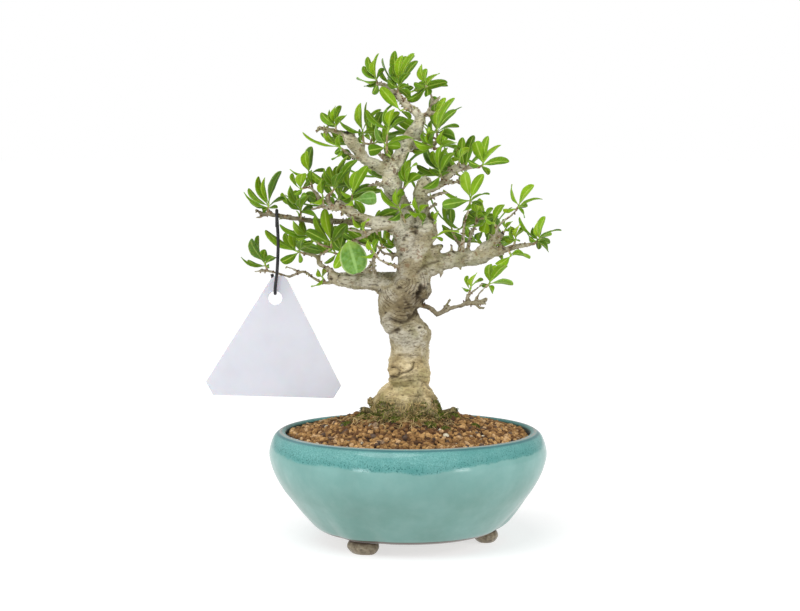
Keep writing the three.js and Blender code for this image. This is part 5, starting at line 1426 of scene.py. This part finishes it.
def add_foot(bm, angle):
    """A rough lump of clay with a flat sole."""
    ball = bmesh.ops.create_icosphere(bm, subdivisions=4, radius=MM)["verts"]
    for vert in ball:
        rough = 1 + 0.05 * noise.noise(vert.co / MM * 1.6 + Vector((angle, 0, 0)))
        narrow = 0.74 + 0.26 * math.sqrt(min(1, max(0, vert.co.z / MM + 0.55) / 0.6))
        wide = Vector((vert.co.x * FOOT_DEEP * narrow, vert.co.y * FOOT_WIDE * narrow,
                       vert.co.z * FOOT_HIGH))
        vert.co = Matrix.Rotation(math.radians(angle), 3, "Z") @ (wide * rough + FOOT_PLACE)
    faces = list({face for vert in ball for face in vert.link_faces})
    edges = list({edge for vert in ball for edge in vert.link_edges})
    cut = bmesh.ops.bisect_plane(bm, geom=ball + edges + faces, plane_co=(0, 0, 0), plane_no=(0, 0, -1),
                                 clear_outer=True)
    rim = [part for part in cut["geom_cut"] if isinstance(part, bmesh.types.BMEdge)]
    bmesh.ops.edgeloop_fill(bm, edges=rim)


for vert in bm.verts:
    radius = vert.co.xy.length / MM
    height = vert.co.z / MM
    angle = math.degrees(math.atan2(vert.co.y, vert.co.x))
    if outer_wall(radius, height) and height < SWELL_TOP:
        near = min(abs((angle - foot + 180) % 360 - 180) * math.radians(radius) for foot in FOOT_ANGLES)
        swell = 2.4 * math.exp(-(near / 8) ** 2) - 0.9 * math.exp(-((near - 14) / 4) ** 2)
        vert.co.xy *= 1 + swell * max(0, 1 - abs(height - SWELL_MIDDLE) / 20) / radius
for angle in FOOT_ANGLES:
    add_foot(bm, angle)
print("bowl with feet:", len(bm.faces), "faces")

# %% [markdown]
# The finish has to know where it is. So each corner keeps how far it lies above the edge of the upper
# coat, how deep that coat is there, whether the clay is bare, whether it is inside, and how far out on
# the lip it lies. The edge of the coat was read off the photograph round the front half, and the back
# half mirrors it.

# %% Marks for the glaze
COAT_EDGE = [(180, 59), (207, 57.7), (224, 55.4), (238, 56.6), (252, 55.3), (266, 54.9), (273, 53.9),
             (279, 54.2), (288, 55.9), (302, 57.6), (320, 58.6), (360, 59.5)]
COAT_DEPTH = [(180, 0.5), (225, 0.1), (250, 0.25), (262, 0.9), (278, 1), (288, 0.5), (296, 0.9), (310, 0.6),
              (328, 0.9), (345, 0.5), (360, 0.5)]
BARE_BELOW = 9.5
FLOOR_LEVEL = 10.4
LIP_LEVEL = 62
RIM_LEVEL = 66
above, raw, inner, lip, depth = float_layers(bm, "above", "raw", "inner", "lip", "depth")
for vert in bm.verts:
    radius = vert.co.xy.length / MM
    height = vert.co.z / MM
    angle = math.degrees(math.atan2(vert.co.y, vert.co.x)) % 360
    front_angle = angle if angle >= 180 else 360 - angle
    edge = blend_table(COAT_EDGE, front_angle) + 0.9 * noise.noise(Vector((angle / 9, 0.3, 0)))
    vert[above] = height - edge
    vert[raw] = 1 if height < BARE_BELOW else 0
    vert[inner] = 1 if FLOOR_LEVEL < height < RIM_LEVEL and not outer_wall(radius, height) else 0
    vert[lip] = (radius - 70) / 10 if height > LIP_LEVEL else 1
    vert[depth] = blend_table(COAT_DEPTH, front_angle)
    vert.co += pot_axis
print("marked", len(bm.verts), "corners")

# %% [markdown]
# Glaze is glass, so it is smooth and has a clear shine, but this one is satin. Fine clouds of lighter
# green and dark specks stop it from looking like paint. The upper coat is deeper in some places round the
# bowl, and it is darkest where it pooled at its edge.

# %% Coats of glaze
glaze = start_finish("turquoise_glaze", 0.3, Coat_Weight=0.6, Coat_Roughness=0.16, Sheen_Weight=0.3,
                     Sheen_Roughness=0.3, Specular_IOR_Level=0.5)
height_over = attribute(glaze, "above")
body_low = ramp(glaze, cloud(glaze, 26, 4), (0.3, 88, 128, 120), (0.5, 97, 138, 130), (0.72, 108, 148, 142))
body_high = ramp(glaze, cloud(glaze, 40, 4), (0.3, 98, 143, 137), (0.5, 105, 150, 144),
                 (0.72, 114, 158, 153))
body_shade = mix(glaze, grey(glaze, height_over, -26, -3), body_low, body_high)
coat_shade = ramp(glaze, cloud(glaze, 1300, 2, 0.6), (0.3, 72, 130, 127), (0.46, 91, 148, 144),
                  (0.6, 100, 156, 152), (0.74, 120, 172, 166))
deep_share = times(glaze, attribute(glaze, "depth"), grey(glaze, cloud(glaze, 70, 3), 0.3, 0.6))
coat_shade = paint(glaze, coat_shade, deep_share, 0.75, colour(70, 132, 128))
wander = times(glaze, sums(glaze, "SUBTRACT", cloud(glaze, 260, 3), 0.5), 3.2)
in_coat = grey(glaze, plus(glaze, height_over, wander), -0.7, 0.8)
glaze_shade = mix(glaze, in_coat, body_shade, coat_shade)
pooled = sums(glaze, "SUBTRACT", grey(glaze, height_over, -0.8, 1.2), grey(glaze, height_over, 1.2, 6))
glaze_shade = paint(glaze, glaze_shade, pooled, 0.5, colour(66, 128, 124))
specks = grey(glaze, cloud(glaze, 1200, 1, 0.5), 0.57, 0.66)
near_edge = times(glaze, specks, times(glaze, in_coat, grey(glaze, height_over, 10, 1)))
glaze_shade = paint(glaze, glaze_shade, near_edge, 0.85, colour(26, 92, 90))
print("coats:", len(glaze.node_tree.nodes), "nodes")

# %% [markdown]
# Glaze runs off a sharp edge, so the crest of the rim is a thin pale line: glaze worn thin, with a painted
# highlight on it. Just below it lies a darker line of painted shadow. At the foot the bare clay shows:
# grey-brown and dull, with painted shadow along the bottom of the wall, just above the feet.

# %% Rim, bare clay, painted shadow lines and shine
crest = attribute(glaze, "lip")
# The crest of the rim: glaze worn thin, and a painted highlight on it.
crest_band = times(glaze, grey(glaze, crest, 0.53, 0.6), grey(glaze, crest, 0.77, 0.7))
worn_and_highlight = times(glaze, crest_band, grey(glaze, cloud(glaze, 300), 0.25, 0.5))
# Painted shadow: a dark line just below the crest.
painted_crest_shadow = times(glaze, grey(glaze, crest, 0.73, 0.79), grey(glaze, crest, 0.94, 0.83))
glaze_shade = mix(glaze, attribute(glaze, "inner"), glaze_shade, colour(66, 96, 86))
glaze_shade = paint(glaze, glaze_shade, worn_and_highlight, 0.8, colour(146, 144, 138))
glaze_shade = paint(glaze, glaze_shade, painted_crest_shadow, 0.75, colour(44, 92, 100))
clay_shade = ramp(glaze, cloud(glaze, 420, 5, 0.65), (0.3, 84, 76, 62), (0.5, 118, 107, 88),
                  (0.7, 142, 131, 110))
# Painted shadow on the bare clay at the bottom of the wall, just above the feet.
painted_base_shadow = grey(glaze, axes(glaze)["Z"], 0.0058, 0.0072)
clay_shade = mix(glaze, painted_base_shadow, clay_shade, colour(74, 62, 52))
bare = attribute(glaze, "raw")
glaze_shade = mix(glaze, grey(glaze, bare, 0.3, 0.7), glaze_shade, clay_shade)
waves = bump(glaze, cloud(glaze, 45, 2), 0.12, 0.002)
relief = bump(glaze, times(glaze, cloud(glaze, 800, 4), bare), 0.5, 0.0006, waves)
dull = plus(glaze, times(glaze, bare, 0.5), grey(glaze, cloud(glaze, 120, 3), 1.4, 0.1))
dress(glaze, glaze_shade, relief, dull)
finish_piece("bowl", bm, glaze, ["pot"])
print("glaze finish:", len(glaze.node_tree.nodes), "nodes")

# %% [markdown]
# ## Soil
#
# The bowl is filled with fired clay grit, heaped up to the trunk. A closed body of soil lies below, and
# loose grains cover all of it. A grain is a cube, divided once and pushed out of true: twenty-four faces
# are enough at three millimetres. The grains are laid like the seeds of a sunflower, which leaves neither
# gaps nor rows.

# %% Soil body
SOIL_SIDE = [(0, 10.85), (44.8, 10.85), (52.7, 13.9), (61.1, 21.3), (70.1, 32.8), (76.1, 44.2), (77.7, 52),
             (76.5, 58.3), (73.6, 63.5)]
SOIL_TOP = [(68, 65), (62, 66.4), (55.5, 68), (48.5, 69.6), (41.5, 71.2), (34, 72.9), (26.5, 74.5),
            (14, 75.4), (0, 76)]
SOIL_SURFACE = [*reversed(SOIL_TOP), SOIL_SIDE[-1]]
SOIL_SHOULDER = 62


def soil_height(radius):
    return blend_table(SOIL_SURFACE, radius)


bm = turned(SOIL_SIDE + SOIL_TOP, 3, 96)
for vert in bm.verts:
    if vert.co.z > SOIL_SHOULDER * MM:
        vert.co.z += 0.5 * MM * noise.noise(vert.co / MM / 3)
    vert.co += pot_axis
soil_ground = start_finish("soil_ground", 0.95)
# The soil body shows in the gaps between the grains; its darkest tones are painted shade for those gaps.
soil_and_gap_shade = ramp(soil_ground, cloud(soil_ground, 500, 5, 0.7), (0.35, 26, 17, 11), (0.5, 48, 32, 20),
                    (0.68, 84, 58, 38))
dress(soil_ground, soil_and_gap_shade, bump(soil_ground, cloud(soil_ground, 600, 4), 0.9, 0.001))
print("soil body:", len(bm.faces), "faces")
finish_piece("soil_body", bm, soil_ground, ["soil"])

# %% Places of the grains
GRAINS = 4000
GRIT_INNER = 15
GRIT_OUTER = 72.6
WALL_GRAINS = 70.5
GOLDEN_ANGLE = 2.39996323
pebble = bmesh.new()
bmesh.ops.create_cube(pebble, size=1)
bmesh.ops.subdivide_edges(pebble, edges=pebble.edges, cuts=1, use_grid_fill=True)
for vert in pebble.verts:
    vert.co = vert.co.normalized() * (0.42 + 0.35 * vert.co.length)
pebble_mesh = stamp("pebble", pebble)


def sunflower(index, count, low, high):
    """The place of a seed in a ring from one radius to the other."""
    radius = math.sqrt(low * low + (high * high - low * low) * (index + 0.5) / count)
    return compass(index * GOLDEN_ANGLE) * radius


random.seed(61)
grains = []
for index in range(GRAINS):
    spot = sunflower(index, GRAINS, GRIT_INNER, GRIT_OUTER)
    radius = spot.length
    size = random.uniform(2.1, 3.5) + (1.2 if random.random() < 0.05 else 0)
    rise = random.uniform(-0.9, 1.1)
    spot.z = soil_height(radius) + rise - 0.1 * size
    if radius > WALL_GRAINS:
        spot.z -= 0.35 * size
    turn = Matrix.Rotation(random.uniform(0, math.tau), 3, shake(random, 1))
    squash = Matrix.Diagonal([random.uniform(0.75, 1.15), random.uniform(0.7, 1.05),
                              random.uniform(0.5, 0.85)])
    # Darker grains in a ring round the trunk.
    ring_darkening = 0.3 * math.exp(-((radius - 30) / 20) ** 2) - 0.05
    sort = random.random()
    # Painted shade: grains that lie low get a darker shade number.
    shade = sort if sort > 0.95 else min(0.94, max(0, 0.8 * sort + 0.32 * rise + 0.02 - ring_darkening))
    grains.append((pot_axis + spot * MM, turn @ squash * size, shade, Vector((index, size, 0))))
print("a grain has", len(pebble_mesh.polygons), "faces, and there are", len(grains))

# %% [markdown]
# Fired clay is orange-brown, from nearly black to pale sand. The number that each grain carries picks its
# colour, and a few rare grains are grey or white. Grains that lie low get a darker number as painted shade,
# and so do the grains in a ring round the trunk.

# %% Grit
grit = start_finish("fired_clay_grit", 0.92)
grain_shade = ramp(grit, attribute(grit, "kind"), (0.0, 47, 32, 21), (0.25, 98, 68, 41),
                   (0.5, 142, 106, 64), (0.75, 174, 134, 82), (0.93, 210, 168, 113), (0.95, 197, 166, 130),
                   (0.965, 98, 82, 70), (0.985, 70, 60, 54), (0.997, 227, 218, 192))
rough_spots = grey(grit, cloud(grit, 700, 4, 0.7), 0.56, 0.38)
grain_shade = paint(grit, grain_shade, rough_spots, 0.6, colour(80, 52, 34))
dress(grit, grain_shade, bump(grit, cloud(grit, 1400, 4, 0.7), 0.4, 0.0004))
finish_piece("grit", copies(pebble_mesh, grains), grit)
print("grit finish:", len(grit.node_tree.nodes), "nodes")

# %% [markdown]
# ## Moss and fine roots
#
# Moss grows where the trunk meets the grit, and climbs a little on the bark. Each tuft of it is a tiny
# three-sided cone. Some tufts stand on the bark, where a ray from outside finds it. Some stand in a ring
# round the foot, and the others in cushions, which are domed.

# %% Moss on the bark and in cushions
MOSS = 8600
STUMP_CENTRE = -0.8
STUMP_RING = 19
OUTSIDE = 45
CUSHIONS = [(-24, 2, 6.5), (-20, -9, 6), (-28, -5, 4.5), (24, 1, 7), (20, -9, 6), (28, -4, 4), (4, -24, 4),
            (-9, -22, 5), (-37, -16, 3), (13, -30, 3.5), (-4, 25, 6), (14, 20, 6), (-17, 18, 6),
            (40, -18, 2.5), (22, -34, 2.5)]
stump_axis = Vector((STUMP_CENTRE, 0, 0))
wood_skin = BVHTree.FromObject(tree_wood, bpy.context.evaluated_depsgraph_get())


def bark_at(angle, height):
    """The place on the bark that a level ray from outside finds, and the way the bark faces there."""
    out = compass(angle)
    start = pot_axis + (stump_axis + out * OUTSIDE + Vector((0, 0, height))) * MM
    return wood_skin.ray_cast(start, -out)[:2]


def ground_at(angle, patch):
    """A place in a cushion or in the ring round the foot."""
    x, y, spread = random.choice(CUSHIONS)
    share = math.sqrt(random.random())
    flat = Vector((x, y, 0)) + compass(angle) * spread * share
    if random.random() < 0.3:
        ring = STUMP_RING + (5 + 20 * max(0, patch)) * random.random() ** 1.3
        flat = stump_axis + compass(angle) * ring
        share = 1
    dome = 0.9 + 0.35 * spread * (1 - share * share)
    return pot_axis + (flat + Vector((0, 0, soil_height(flat.length) + dome))) * MM


random.seed(17)
tufts = []
while len(tufts) < MOSS:
    angle = random.uniform(0, math.tau)
    patch = noise.noise(compass(angle) * 2.2 + Vector((0, 0, 3)))
    if random.random() < 0.42:
        height = 74.5 + 11 * random.random() ** 1.7
        spot, facing = bark_at(angle, height)
        if spot is None or patch < 0.3 * random.random() - 0.12 - 0.03 * (82 - height):
            continue
        lean = (facing + Vector((0, 0, 0.8))).normalized()
    else:
        spot = ground_at(angle, patch)
        lean = Vector((0, 0, 1))
    lean = (lean + shake(random, 0.5)).normalized()
    shape = lean.to_track_quat("Z", "X").to_matrix() @ Matrix.Diagonal([1, 1, random.uniform(1.4, 2.8)])
    tufts.append((spot, shape, random.random()))
print("moss:", len(tufts), "tufts")

# %% Moss
blade = bmesh.new()
bmesh.ops.create_cone(blade, cap_ends=False, segments=3, radius1=0.5, radius2=0.05, depth=1)
moss = start_finish("moss", 0.9)
moss_shade = ramp(moss, attribute(moss, "kind"), (0.0, 42, 50, 12), (0.3, 74, 88, 18), (0.6, 106, 124, 28),
                  (0.82, 142, 156, 56), (0.9, 120, 96, 52), (1.0, 176, 158, 108))
moss_shade = mix(moss, grey(moss, cloud(moss, 700), 0.4, 0.7), moss_shade, colour(60, 66, 24))
dress(moss, moss_shade, bump(moss, cloud(moss, 3000, 2), 0.4, 0.0002))
finish_piece("moss", copies(stamp("moss_blade", blade), tufts), moss)
print("moss finish:", len(moss.node_tree.nodes), "nodes")

# %% [markdown]
# Fine dry roots lie over the grit round the trunk, most of them in front: thin tubes that wander. A
# second set climbs the foot of the trunk. Rays find the bark for each step, and a thread breaks off where
# the next step would jump more than four millimetres.

# %% Lines of the threads
GRIT_THREADS = 150
BARK_THREADS = 260
THREAD_END = 69
LONGEST_JUMP = 4


def grit_thread(number):
    """A thread that wanders over the grit, away from the trunk."""
    angle = random.gauss(math.radians(268), 0.9)
    heading = angle + random.uniform(-1.2, 1.2)
    spot = stump_axis + compass(angle) * (20 + 13 * random.random() ** 2)
    line = []
    for step in range(random.randint(4, 8)):
        lift = 1.5 + 1.1 * math.sin(step * 1.4 + number) + (1.6 if number % 9 == 0 else 0)
        line.append(pot_axis + Vector((spot.x, spot.y, soil_height(spot.length) + lift)) * MM)
        heading += random.uniform(-0.75, 0.75)
        spot += compass(heading) * random.uniform(2.0, 3.4)
        if spot.length > THREAD_END:
            break
    return line


def bark_thread():
    """A thread that lies on the bark and runs down it."""
    angle = random.uniform(0, math.tau)
    height = 74 + 12 * random.random() ** 1.4
    line = []
    for _ in range(random.randint(4, 7)):
        hit, facing = bark_at(angle, height)
        if hit is None or (line and (hit - line[-1]).length > LONGEST_JUMP * MM):
            break
        line.append(hit + facing * random.uniform(0.1, 0.6) * MM)
        angle += random.uniform(-0.11, 0.11)
        height += random.uniform(-2, 0.9)
    return line


random.seed(5)
threads = [(grit_thread(number), random.uniform(0.16, 0.34)) for number in range(GRIT_THREADS)]
threads += [(bark_thread(), random.uniform(0.14, 0.3)) for _ in range(BARK_THREADS)]
threads = [(line, thick) for line, thick in threads if len(line) > 2]
print("threads:", len(threads), "of", GRIT_THREADS + BARK_THREADS)

# %% [markdown]
# Each thread is built in a bmesh of its own and then added to the others, because operators slow down as
# a bmesh grows.

# %% Fine roots
bm = bmesh.new()
thread_mesh = bpy.data.meshes.new("thread")
for line, thick in threads:
    soft = smooth_line(line, 3)
    thread = bmesh.new()
    tube(thread, soft, [thick * MM * (1 - 0.6 * step / len(soft)) for step in range(len(soft))], 4)
    bmesh.ops.recalc_face_normals(thread, faces=thread.faces)
    thread.to_mesh(thread_mesh)
    thread.free()
    bm.from_mesh(thread_mesh)
print("fine roots:", len(bm.faces), "faces")
dry_root = start_finish("dry_root", 0.8)
root_shade = ramp(dry_root, cloud(dry_root, 220), (0.3, 84, 70, 38), (0.42, 128, 108, 64),
                  (0.56, 178, 154, 102), (0.7, 206, 184, 138))
dress(dry_root, root_shade, bump(dry_root, cloud(dry_root, 900), 0.3, 0.0002))
finish_piece("fine_roots", bm, dry_root)

# %% [markdown]
# ## Tag and wire
#
# The tag is a bare sheet of white plastic with clipped corners, cut with a die, so its edges are only
# just softened. The wire is stiff, coated in black, and bent round the branch at the top and through the
# hole below. Both follow the solids exactly; the wire only gets more steps and more sides.

# %% Tag
def round_edges(bm, steepest, offset, segments):
    """Bevels all edges that bend by more than an angle. The offset is in millimetres."""
    sharp = [edge for edge in bm.edges if edge.calc_face_angle(0) > math.radians(steepest)]
    bmesh.ops.bevel(bm, geom=sharp, offset=offset * MM, affect="EDGES", segments=segments, profile=0.5,
                    material=-1)


def softened(node, offset, segments):
    """A copy of a flat-sided solid with whole faces and soft edges."""
    bm = merged_copy(node)
    bmesh.ops.dissolve_limit(bm, angle_limit=math.radians(1), verts=bm.verts, edges=bm.edges)
    round_edges(bm, 40, offset, segments)
    return bm


plastic = start_finish("white_plastic", 0.42, Subsurface_Weight=0.25, Subsurface_Scale=0.002)
plastic_shade = ramp(plastic, cloud(plastic, 40, 4), (0.3, 195, 197, 205), (0.6, 201, 203, 211),
                     (0.8, 205, 207, 215))
plastic_dull = grey(plastic, cloud(plastic, 60, 3), -0.6, 1.4)
dress(plastic, plastic_shade, bump(plastic, cloud(plastic, 1600, 2), 0.08, 0.0002), plastic_dull)
tag_plate = finish_piece("tag_plate", softened("plant_tag", 0.22, 3), plastic, ["plant_tag"],
                         smooth=False)
print("tag:", len(tag_plate.data.polygons), "faces")

# %% Wire
BEND_RADIUS = 2.95
HOLE_BEND = 3
WIRE_RADIUS = 0.97
TOP_BEND = (-78.3, 199.5, -1)
LOW_BEND = (-79.5, 155.8, -0.9)


def bend(middle, radius, start):
    """Seven places on half a turn, in an upright plane that runs away from the eye."""
    across, up, back = middle
    arounds = [start + math.pi * step / 6 for step in range(7)]
    return [(across, up + radius * math.sin(around), radius * math.cos(around) + back)
            for around in arounds]


WIRE_PATH = [(-78.3, 192.5, BEND_RADIUS - 1), (-78.3, 196.5, BEND_RADIUS - 1),
             *bend(TOP_BEND, BEND_RADIUS, 0), (-78, 194, -3.9), (-77.6, 185, -3.9), (-77.8, 175, -3.9),
             (-78.4, 165, -3.9), (-79.2, 159, -3.9), *bend(LOW_BEND, HOLE_BEND, math.pi), (-80.3, 160, 2.1),
             (-81.4, 164.5, 2.1)]
bm = bmesh.new()
line = smooth_line([place(*spot) for spot in WIRE_PATH], 4)
tube(bm, line, [WIRE_RADIUS * MM] * len(line), 14)
bmesh.ops.recalc_face_normals(bm, faces=bm.faces)
round_edges(bm, 60, 0.2, 2)
coating = start_finish("black_coating", 0.55, Specular_IOR_Level=0.4)
coating_shade = ramp(coating, cloud(coating, 300, 3), (0.3, 22, 22, 24), (0.7, 52, 52, 54))
coating_dull = grey(coating, cloud(coating, 200, 2), -0.8, 1.2)
dress(coating, coating_shade, bump(coating, cloud(coating, 1200, 2), 0.15, 0.0002), coating_dull)
finish_piece("coated_wire", bm, coating, ["tag_wire"])
print("wire steps:", len(line))

# %% [markdown]
# The plastic net lies on the drainage hole, under all the soil. Nobody sees it until the pot is emptied,
# but then it should be there: its bars only get soft edges.

# %% Net
net_plastic = start_finish("green_net", 0.5)
net_shade = ramp(net_plastic, cloud(net_plastic, 120), (0.3, 28, 62, 40), (0.7, 44, 86, 58))
dress(net_plastic, net_shade, bump(net_plastic, cloud(net_plastic, 900), 0.2, 0.0002))
net_bars = finish_piece("net_bars", softened("drainage_net", 0.25, 2), net_plastic, ["drainage_net"],
                        smooth=False)
print("net:", len(net_bars.data.polygons), "faces")
